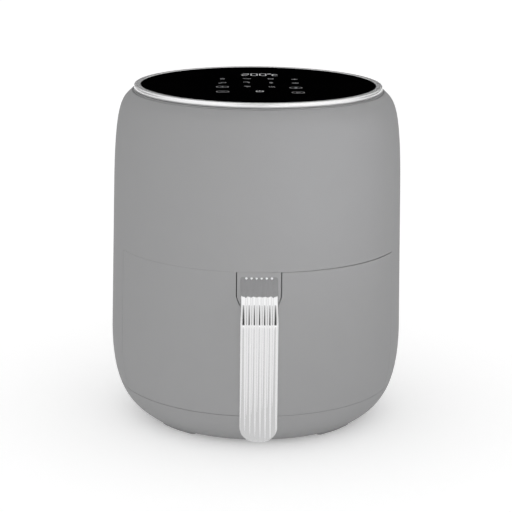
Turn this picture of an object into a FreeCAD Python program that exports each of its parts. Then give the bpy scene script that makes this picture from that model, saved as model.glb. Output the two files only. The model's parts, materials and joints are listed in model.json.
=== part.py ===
import FreeCAD, Part
import math
import os

# A drum-shaped countertop air fryer with a pull-out drawer. Millimetres, +Z up, front towards -Y.
# Every piece is modelled about the drum's axis, and moved at the end so that the origin lies on the
# counter under the middle of the whole appliance.

# Heights, stacked from the counter upwards
FOOT_HEIGHT = 3.0
BASE_HEIGHT = 31.0
DRAWER_HEIGHT = 134.0
DECK_LIFT = 0.6
DECK_THICKNESS = 3.0
CHAMBER_HEIGHT = 46.4
MOTOR_BAY_HEIGHT = 89.6

# Outer form of the drum: a round belly below, a slight taper, a soft shoulder above
BASE_EDGE_R = 106.7
BASE_CURVE_OUT = 12.6
BASE_CURVE_UP = 8.9
BELT_R = 137.0
BELT_RISE = 48.5
BELT_PULL = 58.9
SHOULDER_R = 134.05
SHOULDER_RISE = 54.0
SHOULDER_PULL = 79.3
RIM_R = 117.7
RIM_PULL_OUT = 7.4
RIM_PULL_DOWN = 7.6
WALL = 2.6

# Gaps and fits
SEAM_GAP = 0.9
SEAT_GAP = 0.2
RUNNING_FIT = 0.05
PRESS_FIT = 0.02
SLIDE_GAP = 0.3
SCREW_FIT = 0.1

# Base moulding, feet and the screws under them
BASE_FLOOR = 3.0
BASE_BOSS_R = 6.5
BASE_LIP_HEIGHT = 5.0
BASE_LIP_WALL = 1.8
BASE_LIP_CLEAR_ANGLE = 5.0
INTAKE_SLOTS = 9
INTAKE_SLOT_LENGTH = 56.0
INTAKE_SLOT_WIDTH = 4.0
INTAKE_SLOT_PITCH = 9.0
FOOT_EDGE_INSET = 2.2
FOOT_DEPTH = 19.0
FOOT_SPAN = 24.4
FOOT_ANGLE = 45.6
FOOT_CORNER = 4.0
FOOT_ROUND = 1.2
BASE_SCREW_INSET = 14.8
BASE_SCREW_ANGLE = 51.6
BASE_SCREW_R = 2.0
BASE_SCREW_HEAD_R = 4.0
BASE_SCREW_HEAD = 2.6

# Drawer bay: floor plate, runners and the sheet liner
BAY_FLOOR = 2.0
RUNNER_X = 60.0
RUNNER_WIDTH = 8.0
RUNNER_END_GAP = 3.0
RUNNER_ROUND = 1.5
LINER_LEDGE = 16.82
LINER_SIDE_ROOM = 13.4
LINER_CLEAR = 7.0
LINER_SHEET = 1.2
LINER_FLANGE = 6.0
LINER_FRONT_GAP = 2.0
BAY_POST_DEPTH = 8.0

# Deck over the bay, on lugs of the housing
LUG_ANGLES = (100.0, 150.0, 210.0, 260.0)
LUG_HEIGHT = 8.0
LUG_WIDTH = 14.0
LUG_CLEAR = 1.0
DECK_SCREW_R = 1.5
DECK_SCREW_HEAD_R = 2.8
DECK_SCREW_HEAD = 2.0

# Steel chamber over the pan
DOME_SHEET = 1.2
DOME_FLANGE = 4.8
DOME_CORNER = 14.0
DOME_SHAFT_GAP = 4.0

# Heating element, its guard, clips and insulators
GUARD_LIFT = 7.4
GUARD_WIRE_R = 1.25
GUARD_RING_INSETS = (90.0, 62.0, 34.0, 10.0)
GUARD_SPOKES = 6
GUARD_WELD = 0.6
ELEMENT_LIFT = 11.0
ELEMENT_R = 3.25
ELEMENT_OUTER_R = 92.0
ELEMENT_STEP = 7.0
ELEMENT_HALF_TURNS = 4
ELEMENT_BEND_R = 9.0
ELEMENT_LEG_X = 12.0
ELEMENT_LEG_RISE = 14.0
CLIP_ANGLES = (30.0, 150.0, 270.0)
CLIP_SHEET = 1.6
CLIP_MARGIN = 6.0
CLIP_STEM = 8.0
CLIP_HOLE_GAP = 0.3
INSULATOR_R = 6.0
INSULATOR_FLANGE_R = 8.0
INSULATOR_FLANGE = 3.0
INSULATOR_DEPTH = 4.0
INSULATOR_TOP = 5.0

# Probe and thermal cut-out
SENSOR_ANGLE = 225.0
SENSOR_LIFT = 14.0
SENSOR_R = 2.0
SENSOR_REACH = 20.0
SENSOR_FLANGE_R = 5.0
SENSOR_FLANGE = 2.0
CUTOUT_X = -72.0
CUTOUT_Y = 10.0
CUTOUT_R = 8.0
CUTOUT_HEIGHT = 7.0
CUTOUT_PLATE = 1.0
CUTOUT_PLATE_LENGTH = 28.0
CUTOUT_PLATE_WIDTH = 12.0

# Fans on one shaft
SHAFT_R = 3.0
SHAFT_END = 1.5
HOT_FAN_R = 55.0
HOT_FAN_ROOF_GAP = 5.0
HOT_FAN_DISC = 1.2
HOT_FAN_BLADE = 11.0
HOT_FAN_BLADES = 10
HOT_FAN_BLADE_SHEET = 1.2
HOT_FAN_EYE_R = 20.0
HOT_FAN_SWEEP = 20.0
HUB_R = 8.0
NUT_FLATS = 11.0
NUT_HEIGHT = 5.0
COOL_FAN_R = 46.0
COOL_FAN_HEIGHT = 12.0
COOL_FAN_BLADES = 7
COOL_FAN_BLADE_SHEET = 1.6
COOL_FAN_PITCH = 38.0
COOL_FAN_GAP = 5.0

# Motor between the fans
BRACKET_LEG = 9.0
BRACKET_LEG_R = 4.0
BRACKET_LEG_CIRCLE_R = 40.0
BRACKET_LEGS = 3
BRACKET_RIM = 6.0
BRACKET_SHEET = 2.0
CAN_R = 34.0
CAN_HEIGHT = 34.0
CAN_SHEET = 1.6
BUSH_R = 7.0
BUSH_LENGTH = 6.0
STATOR_END_GAP = 7.0
STATOR_SLOTS = 6
STATOR_SLOT = 5.0
STATOR_SLOT_DEPTH = 5.0
ROTOR_R = 18.0
ROTOR_GAP = 0.6
WINDING_WALL = 7.0
WINDING_HEIGHT = 4.0
MOTOR_SCREWS = 3
MOTOR_SCREW_R = 1.75
MOTOR_SCREW_HEAD_R = 3.2
MOTOR_SCREW_HEAD = 2.4
MOTOR_SCREW_CIRCLE_R = 14.0
MOTOR_SCREW_REACH = 3.0

# Power board beside the motor
BOARD_SHEET = 1.6
POWER_BOARD_LENGTH = 96.0
POWER_BOARD_WIDTH = 44.0
POWER_BOARD_MOTOR_GAP = 4.0
POWER_BOARD_EDGE = 6.0
STANDOFF_HEIGHT = 10.0
STANDOFF_R = 3.0
RELAY_LENGTH = 22.0
RELAY_WIDTH = 16.0
RELAY_HEIGHT = 16.0
TRANSFORMER_LENGTH = 24.0
TRANSFORMER_WIDTH = 20.0
TRANSFORMER_HEIGHT = 21.0
CAPACITOR_R = 6.0
CAPACITOR_HEIGHT = 18.0
CAPACITOR_GAP = 4.0

# Air outlet at the rear
DUCT_WIDTH = 52.0
DUCT_HEIGHT = 24.0
DUCT_SHEET = 1.2
DUCT_LIFT = 9.0
GRILLE_WIDTH = 92.0
GRILLE_HEIGHT = 62.0
GRILLE_LIFT = 4.0
GRILLE_RECESS = 0.5
GRILLE_LOUVRES = 6
GRILLE_LOUVRE_HEIGHT = 5.0
GRILLE_MARGIN = 8.0

# Gland for the mains lead at the rear
GLAND_RISE = 26.0
GLAND_R = 7.0
GLAND_FLANGE_R = 10.0
GLAND_FLANGE = 3.0
GLAND_INNER_LENGTH = 4.0
GLAND_BORE_R = 3.6

# Control panel on top
TOP_FLANGE = 2.6
TOP_FLANGE_DROP = 0.6
CARRIER_INSET = 2.0
CARRIER_FLANGE = 3.2
TRAY_LEDGE = 9.8
TRAY_WALL = 2.0
TRAY_DEPTH = 9.0
TRAY_POSTS = 4
TRAY_POST_R = 3.0
TRAY_POST_HEIGHT = 2.0
TRAY_POST_INSET = 8.0
GLASS_THICKNESS = 3.2
GLASS_EDGE = 0.5
TRIM_INSET = 2.7
TRIM_WIDTH = 6.0
TRIM_HEIGHT = 3.3
TRIM_OUTER_ROUND = 0.6
TRIM_INNER_ROUND = 0.3
TRIM_SKIRT = 0.8
TRIM_SKIRT_WALL = 1.8
CARRIER_SCREWS = 4
CARRIER_SCREW_R = 1.5
CARRIER_SCREW_HEAD_R = 2.8
CARRIER_SCREW_HEAD = 1.8
CARRIER_SCREW_REACH = 5.0
CONTROL_BOARD_GAP = 7.0
DISPLAY_LENGTH = 46.0
DISPLAY_WIDTH = 16.0
DISPLAY_Y = 60.0
TOUCH_PAD_R = 3.0
TOUCH_COLUMNS = (-33.0, -11.0, 11.0, 33.0)
TOUCH_ROWS = (37.0, 14.0, -13.0, -42.0)

# Door switch on the deck, worked by the drawer's top
SWITCH_ANGLE = 40.0
SWITCH_LENGTH = 20.0
SWITCH_DEPTH = 6.0
SWITCH_HEIGHT = 14.0
SWITCH_FLANGE_GAP = 0.6
PLUNGER_R = 1.6
PLUNGER_IN_SWITCH = 8.0
PLUNGER_HEADROOM = 2.0

# Drawer shell
DRAWER_HALF_ANGLE = 65.5
DRAWER_SIDE_GAP = 0.4
BACK_SHELL_GAP = 8.5
BACK_SHELL_WALL = 2.0
BACK_SHELL_TOP_DROP = 2.7
BACK_SHELL_FLOOR_GAP = 2.0
BACK_SHELL_SIDE_ANGLE = 4.5

# Pan
PAN_LIP = 5.0
PAN_DRAFT = 9.0
PAN_SHEET = 1.5
PAN_CORNER = 14.0
PAN_CLEAR = 8.0
PAN_TOP_DROP = 10.5
PAN_BRACKET_HALF = 36.0
PAN_BRACKET_HEIGHT = 40.0
PAN_BRACKET_SHEET = 3.0

# Crisper plate
PLATE_LEG = 10.0
PLATE_LEG_R = 4.0
PLATE_LEGS = 4
PLATE_SHEET = 1.6
PLATE_RIM = 4.5
PLATE_WALL_GAP = 3.4
PLATE_HOLE_R = 11.0
SLOT_WIDTH = 4.0
SLOT_LAND = 7.0
SLOT_COUNTS = (10, 18, 26)
BUMPER_WIDTH = 16.0

# Handle: a fluted strip that leaves the drawer front, bends over and pours straight down
HANDLE_WIDTH = 33.0
HANDLE_TOP_DROP = 4.5
HANDLE_DROOP = 27.5
HANDLE_RUN = 22.43
HANDLE_BEND_R = 30.0
HANDLE_TIP_DROP = 9.2
HANDLE_TIP_ROUND = 13.0
HANDLE_COVER = 4.5
HANDLE_CORE = 7.4
HANDLE_CORE_INSET = 1.5
HANDLE_CORE_ROUND = 3.2
HANDLE_RIBS = 7
HANDLE_RIB_HEIGHT = 0.8
HANDLE_EDGE = 0.9
NOTCH_WIDTH = 39.0
NOTCH_FOOT_WIDTH = 33.0
NOTCH_STRAIGHT = 22.5
NOTCH_HEIGHT = 30.0
NOTCH_GAP = 0.7
HANDLE_SCREW_X = 10.0
HANDLE_SCREW_ROOM = 1.2
HANDLE_SCREW_R = 2.0
HANDLE_SCREW_HEAD_R = 3.8
HANDLE_SCREW_HEAD = 2.6
HANDLE_SCREW_REACH = 7.0

# Levels worked out from the stack of heights
Z_BASE = FOOT_HEIGHT
Z_LOW = Z_BASE + BASE_HEIGHT
Z_HIGH = Z_LOW + DRAWER_HEIGHT
Z_DECK = Z_HIGH + DECK_LIFT
Z_DECK_TOP = Z_DECK + DECK_THICKNESS
Z_ROOF = Z_DECK_TOP + CHAMBER_HEIGHT
Z_RIM = Z_ROOF + MOTOR_BAY_HEIGHT
Z_BELT = Z_LOW + BELT_RISE
Z_SHOULDER = Z_HIGH + SHOULDER_RISE
Z_FLANGE = Z_RIM - TOP_FLANGE_DROP
Z_GLASS = Z_FLANGE + CARRIER_FLANGE
Z_TRAY = Z_FLANGE - TRAY_DEPTH
Z_BAY = Z_LOW + BAY_FLOOR
Z_PAN = Z_BAY + PAN_CLEAR
Z_PAN_TOP = Z_HIGH - PAN_TOP_DROP
Z_SWITCH_TOP = Z_DECK_TOP + SWITCH_HEIGHT
Z_GUARD = Z_DECK_TOP + GUARD_LIFT
Z_ELEMENT = Z_GUARD + ELEMENT_LIFT
Z_HOT_FAN = Z_ROOF - DOME_SHEET - HOT_FAN_ROOF_GAP - HOT_FAN_DISC - HOT_FAN_BLADE
Z_BRACKET = Z_ROOF + BRACKET_LEG
Z_CAN = Z_BRACKET + BRACKET_SHEET
Z_CAN_TOP = Z_CAN + CAN_HEIGHT
Z_COOL_FAN = Z_CAN_TOP + COOL_FAN_GAP
Z_COOL_FAN_TOP = Z_COOL_FAN + COOL_FAN_HEIGHT
Z_BACK_SHELL = Z_BAY + BACK_SHELL_FLOOR_GAP
Z_BACK_SHELL_TOP = Z_HIGH - BACK_SHELL_TOP_DROP

# Curves of the outer form, as four control points each of radius and height
BELLY_CURVE = (
    (BASE_EDGE_R, Z_BASE),
    (BASE_EDGE_R + BASE_CURVE_OUT, Z_BASE + BASE_CURVE_UP),
    (BELT_R, Z_BELT - BELT_PULL),
    (BELT_R, Z_BELT),
)
TAPER = (SHOULDER_R - BELT_R) / (Z_SHOULDER - Z_BELT)
SHOULDER_CURVE = (
    (SHOULDER_R, Z_SHOULDER),
    (SHOULDER_R + TAPER * SHOULDER_PULL, Z_SHOULDER + SHOULDER_PULL),
    (RIM_R + RIM_PULL_OUT, Z_RIM - RIM_PULL_DOWN),
    (RIM_R, Z_RIM),
)


def vec(x, y, z):
    return FreeCAD.Vector(x, y, z)


def polar(radius, angle, z):
    """A point at an angle measured from the front, turning towards +X."""
    turn = math.radians(angle)
    return vec(radius * math.sin(turn), -radius * math.cos(turn), z)


def curve_point(curve, t):
    weights = ((1 - t) ** 3, 3 * (1 - t) ** 2 * t, 3 * (1 - t) * t ** 2, t ** 3)
    radius = sum(w * p[0] for w, p in zip(weights, curve))
    height = sum(w * p[1] for w, p in zip(weights, curve))
    return radius, height


def drum_radius(z):
    """Outer radius of the drum at a height."""
    if Z_BELT <= z <= Z_SHOULDER:
        return BELT_R + TAPER * (z - Z_BELT)
    curve = BELLY_CURVE if z < Z_BELT else SHOULDER_CURVE
    low, high = 0.0, 1.0
    for _ in range(40):
        middle = (low + high) / 2
        if curve_point(curve, middle)[1] < z:
            low = middle
        else:
            high = middle
    return curve_point(curve, low)[0]


# Radii worked out from the drum inwards
BIG = 4 * BELT_R
LINER_R = min(drum_radius(Z_SWITCH_TOP) - LINER_LEDGE, drum_radius(Z_BAY) - LINER_SIDE_ROOM)
PAN_RIM_R = LINER_R - LINER_CLEAR
PAN_TOP_R = PAN_RIM_R - PAN_LIP
PAN_BOTTOM_R = PAN_TOP_R - PAN_DRAFT
DOME_FLANGE_R = LINER_R + DOME_SHEET + DOME_FLANGE
BACK_SHELL_R = PAN_RIM_R + BACK_SHELL_GAP
BAY_INSET = WALL + SEAT_GAP + BASE_LIP_WALL + SLIDE_GAP
TRIM_R = RIM_R - TRIM_INSET
CARRIER_R = TRIM_R - CARRIER_INSET
GLASS_R = TRIM_R - TRIM_WIDTH - SEAT_GAP
TRAY_R = GLASS_R - TRAY_LEDGE
CONTROL_BOARD_R = TRAY_R - TRAY_WALL - CONTROL_BOARD_GAP


def revolve(edges):
    """Turn a closed profile in the X-Z plane about the drum's axis."""
    face = Part.Face(Part.Wire(Part.__sortEdges__(edges)))
    return face.revolve(vec(0, 0, 0), vec(0, 0, 1), 360)


def turned(points):
    """Turn a closed polygon of radius and height about the drum's axis."""
    corners = [vec(r, 0, z) for r, z in points]
    wire = Part.makePolygon(corners + corners[:1])
    return Part.Face(wire).revolve(vec(0, 0, 0), vec(0, 0, 1), 360)


def line(a, b):
    return Part.LineSegment(a, b).toShape()


def arc(a, b, c):
    return Part.Arc(a, b, c).toShape()


def bezier(curve, inset):
    shape = Part.BezierCurve()
    shape.setPoles([vec(r - inset, 0, z) for r, z in curve])
    return shape.toShape()


def drum(inset):
    """Solid of the drum's outer form, drawn in from the outside by an inset."""
    low_edge = vec(BASE_EDGE_R - inset, 0, Z_BASE)
    belt = vec(BELT_R - inset, 0, Z_BELT)
    shoulder = vec(SHOULDER_R - inset, 0, Z_SHOULDER)
    rim = vec(RIM_R - inset, 0, Z_RIM)
    low_axis = vec(0, 0, Z_BASE)
    top_axis = vec(0, 0, Z_RIM)
    return revolve([
        line(low_axis, low_edge),
        bezier(BELLY_CURVE, inset),
        line(belt, shoulder),
        bezier(SHOULDER_CURVE, inset),
        line(rim, top_axis),
        line(top_axis, low_axis),
    ])


def slab(z0, z1):
    return Part.makeBox(2 * BIG, 2 * BIG, z1 - z0, vec(-BIG, -BIG, z0))


def block(x0, x1, y0, y1, z0, z1):
    return Part.makeBox(x1 - x0, y1 - y0, z1 - z0, vec(x0, y0, z0))


def disc(radius, z0, z1, x=0.0, y=0.0):
    return Part.makeCylinder(radius, z1 - z0, vec(x, y, z0))


def ring(inner, outer, z0, z1):
    return disc(outer, z0, z1).cut(disc(inner, z0, z1))


def rear_half():
    return block(-BIG, BIG, 0, BIG, 0, BIG)


def front_sector(half_angle, z0, z1):
    """Wedge that opens to the front from the drum's axis."""
    corners = [vec(0, 0, z0), polar(BIG, -half_angle, z0), polar(BIG, half_angle, z0)]
    face = Part.Face(Part.makePolygon(corners + corners[:1]))
    return face.extrude(vec(0, 0, z1 - z0))


def turned_copies(shape, angles):
    """Copies of a shape, each turned about the drum's axis."""
    copies = []
    for angle in angles:
        copy = shape.copy()
        copy.rotate(vec(0, 0, 0), vec(0, 0, 1), angle)
        copies.append(copy)
    return copies


def spread(count, first=0.0):
    """Evenly spread angles round the axis."""
    return [first + 360.0 * i / count for i in range(count)]


def fuse(shapes):
    return shapes[0].multiFuse(shapes[1:]).removeSplitter()


def four_corners(angle):
    """An angle from the front, mirrored to both sides and to the back."""
    return (angle, 180 - angle, 180 + angle, 360 - angle)


def base_screw_places():
    radius = BASE_EDGE_R - BASE_SCREW_INSET
    return [polar(radius, angle, 0) for angle in four_corners(BASE_SCREW_ANGLE)]


def lug_places():
    outer = drum_radius(Z_DECK) - WALL
    inner = LINER_R + LINER_SHEET + LINER_FLANGE + LUG_CLEAR
    return [polar((outer + inner) / 2, angle, Z_DECK) for angle in LUG_ANGLES]


def carrier_screw_places():
    radius = (TRAY_R + GLASS_R) / 2
    return [polar(radius, angle, Z_GLASS) for angle in spread(CARRIER_SCREWS, 45)]


# Casing and base


def outer_housing():
    shell = drum(0).cut(drum(WALL)).common(slab(Z_LOW, Z_RIM))
    flange = drum(0).common(slab(Z_FLANGE - TOP_FLANGE, Z_FLANGE))
    flange = flange.cut(disc(TRAY_R + SLIDE_GAP, Z_FLANGE - TOP_FLANGE, Z_FLANGE))
    shape = shell.fuse(flange)
    shape = shape.cut(front_sector(DRAWER_HALF_ANGLE, Z_LOW, Z_HIGH))
    shape = shape.fuse(housing_lugs())
    cuts = [grille_window(0.0)]
    gland_z = Z_LOW + GLAND_RISE
    hole = Part.makeCylinder(GLAND_R + SEAT_GAP, BIG, vec(0, 0, gland_z), vec(0, 1, 0))
    cuts.append(hole)
    for place in lug_places():
        cuts.append(disc(DECK_SCREW_R + SCREW_FIT, Z_DECK - LUG_HEIGHT, Z_DECK, place.x, place.y))
    for place in carrier_screw_places():
        radius = CARRIER_SCREW_R + SCREW_FIT
        cuts.append(disc(radius, Z_FLANGE - TOP_FLANGE, Z_FLANGE, place.x, place.y))
    return shape.cut(cuts).removeSplitter()


def housing_lugs():
    """Four ledges on the inside of the housing that carry the deck."""
    inner = LINER_R + LINER_SHEET + LINER_FLANGE + LUG_CLEAR
    band = drum(WALL / 2).common(slab(Z_DECK - LUG_HEIGHT, Z_DECK))
    band = band.cut(disc(inner, Z_DECK - LUG_HEIGHT, Z_DECK))
    bar = block(-LUG_WIDTH / 2, LUG_WIDTH / 2, -BIG, 0, Z_DECK - LUG_HEIGHT, Z_DECK)
    return [band.common(bar_at) for bar_at in turned_copies(bar, LUG_ANGLES)]


def base_moulding():
    top = Z_LOW - SEAT_GAP
    shape = drum(0).common(slab(Z_BASE, top))
    hollow = drum(WALL).common(slab(Z_BASE + BASE_FLOOR, top))
    shape = shape.cut(hollow)
    lip_top = Z_LOW + BASE_LIP_HEIGHT
    lip_inset = WALL + SEAT_GAP
    lip = drum(lip_inset).cut(drum(lip_inset + BASE_LIP_WALL))
    lip = lip.common(slab(top - BASE_LIP_HEIGHT, lip_top))
    foot_of_lip = drum(WALL / 2).cut(drum(lip_inset + BASE_LIP_WALL))
    foot_of_lip = foot_of_lip.common(slab(top - BASE_LIP_HEIGHT, top - BASE_LIP_HEIGHT / 2))
    opening = front_sector(DRAWER_HALF_ANGLE + BASE_LIP_CLEAR_ANGLE, Z_BASE, lip_top)
    pieces = [lip.cut(opening), foot_of_lip]
    for place in base_screw_places():
        pieces.append(disc(BASE_BOSS_R, Z_BASE, Z_LOW, place.x, place.y))
    shape = shape.fuse(pieces)
    cuts = []
    for place in base_screw_places():
        cuts.append(disc(BASE_SCREW_R + SCREW_FIT, Z_BASE, Z_LOW, place.x, place.y))
        head = BASE_SCREW_HEAD_R + SCREW_FIT
        cuts.append(disc(head, Z_BASE, Z_BASE + BASE_SCREW_HEAD, place.x, place.y))
    for i in range(INTAKE_SLOTS):
        x = (i - (INTAKE_SLOTS - 1) / 2) * INTAKE_SLOT_PITCH
        half = INTAKE_SLOT_WIDTH / 2
        reach = INTAKE_SLOT_LENGTH / 2
        cuts.append(block(x - half, x + half, -reach, reach, Z_BASE, Z_BASE + BASE_FLOOR))
    return shape.cut(cuts).removeSplitter()


def rubber_feet():
    """Arc-shaped pads that follow the edge of the base and cover its screws."""
    outer = BASE_EDGE_R - FOOT_EDGE_INSET
    ring = disc(outer, 0, FOOT_HEIGHT).cut(disc(outer - FOOT_DEPTH, 0, FOOT_HEIGHT))
    pad = ring.common(front_sector(FOOT_SPAN / 2, 0, FOOT_HEIGHT))
    corners = [e for e in pad.Edges if e.BoundBox.ZLength > FOOT_HEIGHT / 2]
    pad = pad.makeFillet(FOOT_CORNER, corners)
    low_edges = [e for e in pad.Edges if e.BoundBox.ZMax < FOOT_HEIGHT / 2]
    pad = pad.makeFillet(FOOT_ROUND, low_edges)
    return Part.makeCompound(turned_copies(pad, four_corners(FOOT_ANGLE)))


def base_screws():
    screws = []
    for place in base_screw_places():
        head = disc(BASE_SCREW_HEAD_R, Z_BASE, Z_BASE + BASE_SCREW_HEAD, place.x, place.y)
        shank = disc(BASE_SCREW_R, Z_BASE, Z_BAY, place.x, place.y)
        screws.append(head.fuse(shank).removeSplitter())
    return Part.makeCompound(screws)


def grille_window(gap):
    """Opening for the air outlet at the rear, drawn in by a gap all round."""
    half = GRILLE_WIDTH / 2 - gap
    z0 = Z_DECK_TOP + GRILLE_LIFT + gap
    z1 = Z_DECK_TOP + GRILLE_LIFT + GRILLE_HEIGHT - gap
    return block(-half, half, LINER_R / 2, BIG, z0, z1)


def rear_grille():
    skin = drum(GRILLE_RECESS).cut(drum(WALL))
    shape = skin.common(grille_window(SEAT_GAP))
    half = GRILLE_WIDTH / 2 - GRILLE_MARGIN
    pitch = GRILLE_HEIGHT / (GRILLE_LOUVRES + 1)
    louvres = []
    for i in range(GRILLE_LOUVRES):
        z = Z_DECK_TOP + GRILLE_LIFT + pitch * (i + 1)
        z0 = z - GRILLE_LOUVRE_HEIGHT / 2
        louvres.append(block(-half, half, 0, BIG, z0, z0 + GRILLE_LOUVRE_HEIGHT))
    return shape.cut(louvres)


def gland_face_y():
    """Rear face of the housing under the gland's flange."""
    gland_z = Z_LOW + GLAND_RISE
    heights = (gland_z - GLAND_FLANGE_R, gland_z, gland_z + GLAND_FLANGE_R)
    return max(drum_radius(z) for z in heights)


def cord_gland():
    z = Z_LOW + GLAND_RISE
    back = gland_face_y()
    front = drum_radius(z - GLAND_FLANGE_R) - WALL - GLAND_INNER_LENGTH
    body = Part.makeCylinder(GLAND_R, back - front, vec(0, front, z), vec(0, 1, 0))
    flange = Part.makeCylinder(GLAND_FLANGE_R, GLAND_FLANGE, vec(0, back, z), vec(0, 1, 0))
    rim = [e for e in flange.Edges if e.BoundBox.YMin > back + GLAND_FLANGE / 2]
    flange = flange.makeFillet(GLAND_FLANGE / 3, rim)
    bore = Part.makeCylinder(GLAND_BORE_R, BIG, vec(0, 0, z), vec(0, 1, 0))
    return body.fuse(flange).removeSplitter().cut(bore)


# Control panel


def panel_carrier():
    shape = ring(TRAY_R - TRAY_WALL, CARRIER_R, Z_FLANGE, Z_GLASS)
    wall = ring(TRAY_R - TRAY_WALL, TRAY_R, Z_TRAY, Z_GLASS)
    floor = disc(TRAY_R, Z_TRAY, Z_TRAY + TRAY_WALL)
    pieces = [wall, floor]
    post_r = CONTROL_BOARD_R - TRAY_POST_INSET
    post_top = Z_TRAY + TRAY_WALL + TRAY_POST_HEIGHT
    for angle in spread(TRAY_POSTS, 45):
        place = polar(post_r, angle, 0)
        pieces.append(disc(TRAY_POST_R, Z_TRAY, post_top, place.x, place.y))
    shape = shape.fuse(pieces)
    cuts = []
    for place in carrier_screw_places():
        cuts.append(disc(CARRIER_SCREW_R + SCREW_FIT, Z_FLANGE, Z_GLASS, place.x, place.y))
        z0 = Z_GLASS - CARRIER_SCREW_HEAD - SCREW_FIT
        cuts.append(disc(CARRIER_SCREW_HEAD_R + SCREW_FIT, z0, Z_GLASS, place.x, place.y))
    return shape.cut(cuts).removeSplitter()


def carrier_screws():
    screws = []
    top = Z_GLASS - SCREW_FIT
    for place in carrier_screw_places():
        head = disc(CARRIER_SCREW_HEAD_R, top - CARRIER_SCREW_HEAD, top, place.x, place.y)
        shank = disc(CARRIER_SCREW_R, Z_GLASS - CARRIER_FLANGE - CARRIER_SCREW_REACH, top, place.x, place.y)
        screws.append(head.fuse(shank).removeSplitter())
    return Part.makeCompound(screws)


def board_level():
    return Z_TRAY + TRAY_WALL + TRAY_POST_HEIGHT


def control_board():
    return disc(CONTROL_BOARD_R, board_level(), board_level() + BOARD_SHEET)


def display_module():
    z0 = board_level() + BOARD_SHEET
    half = DISPLAY_LENGTH / 2
    y0 = DISPLAY_Y - DISPLAY_WIDTH / 2
    return block(-half, half, y0, y0 + DISPLAY_WIDTH, z0, Z_GLASS - SLIDE_GAP)


def touch_pads():
    """Sprung contacts between the board and the underside of the glass, one under each key."""
    z0 = board_level() + BOARD_SHEET
    pads = []
    for x in TOUCH_COLUMNS:
        for y in TOUCH_ROWS:
            pads.append(disc(TOUCH_PAD_R, z0, Z_GLASS - SEAT_GAP, x, y))
    return Part.makeCompound(pads)


def control_glass():
    glass = disc(GLASS_R, Z_GLASS, Z_GLASS + GLASS_THICKNESS)
    top_edges = [e for e in glass.Edges if e.BoundBox.ZMin > Z_GLASS + GLASS_THICKNESS / 2]
    return glass.makeFillet(GLASS_EDGE, top_edges)


def trim_ring():
    inner = GLASS_R + SEAT_GAP
    top = Z_GLASS + TRIM_HEIGHT
    out = TRIM_OUTER_ROUND
    inside = TRIM_INNER_ROUND
    out_mid = out * (1 - math.sqrt(0.5))
    in_mid = inside * (1 - math.sqrt(0.5))
    low_in = vec(inner, 0, Z_GLASS)
    skirt_root = vec(TRIM_R - TRIM_SKIRT_WALL, 0, Z_GLASS)
    skirt_in = vec(TRIM_R - TRIM_SKIRT_WALL, 0, Z_GLASS - TRIM_SKIRT)
    skirt_out = vec(TRIM_R, 0, Z_GLASS - TRIM_SKIRT)
    side_out = vec(TRIM_R, 0, top - out)
    top_out = vec(TRIM_R - out, 0, top)
    top_in = vec(inner + inside, 0, top)
    side_in = vec(inner, 0, top - inside)
    return revolve([
        line(low_in, skirt_root),
        line(skirt_root, skirt_in),
        line(skirt_in, skirt_out),
        line(skirt_out, side_out),
        arc(side_out, vec(TRIM_R - out_mid, 0, top - out_mid), top_out),
        line(top_out, top_in),
        arc(top_in, vec(inner + in_mid, 0, top - in_mid), side_in),
        line(side_in, low_in),
    ])


# Drawer bay and cooking chamber


def bay_floor():
    plate = drum(BAY_INSET).common(slab(Z_LOW, Z_BAY))
    holes = [disc(BASE_SCREW_R + SCREW_FIT, Z_LOW, Z_BAY, p.x, p.y) for p in base_screw_places()]
    return plate.cut(holes)


def drawer_runners():
    outer_x = RUNNER_X + RUNNER_WIDTH / 2
    front = -math.sqrt(BACK_SHELL_R ** 2 - outer_x ** 2) + RUNNER_END_GAP
    back = math.sqrt(LINER_R ** 2 - outer_x ** 2) - RUNNER_END_GAP
    runners = []
    for side in (-1, 1):
        x0 = side * RUNNER_X - RUNNER_WIDTH / 2
        bar = block(x0, x0 + RUNNER_WIDTH, front, back, Z_BAY, Z_PAN - SLIDE_GAP)
        long_edges = [e for e in bar.Edges if e.BoundBox.ZMin > Z_BAY and e.BoundBox.YLength > RUNNER_WIDTH]
        runners.append(bar.makeFillet(RUNNER_ROUND, long_edges))
    return Part.makeCompound(runners)


def liner_front():
    """How far forward the straight sides of the liner can run inside the housing."""
    housing = drum_radius(Z_BAY) - BAY_INSET - LINER_FRONT_GAP
    side = LINER_R + LINER_SHEET
    edge = drum_radius(Z_BAY) * math.cos(math.radians(DRAWER_HALF_ANGLE))
    return min(math.sqrt(housing ** 2 - side ** 2), edge - BAY_POST_DEPTH)


def bay_plan(radius, z0, z1):
    """Bay outline from above: round at the back, straight at the sides, open to the front."""
    round_back = disc(radius, z0, z1).common(rear_half())
    straight = block(-radius, radius, -liner_front(), 0, z0, z1)
    return round_back.fuse(straight).removeSplitter()


def cavity_liner():
    shape = bay_plan(LINER_R + LINER_SHEET, Z_BAY, Z_DECK)
    shape = shape.cut(bay_plan(LINER_R, Z_BAY, Z_DECK))
    flange_r = LINER_R + LINER_SHEET + LINER_FLANGE
    flange = ring(LINER_R, flange_r, Z_DECK - LINER_SHEET, Z_DECK).common(rear_half())
    return shape.fuse(flange).removeSplitter()


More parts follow.
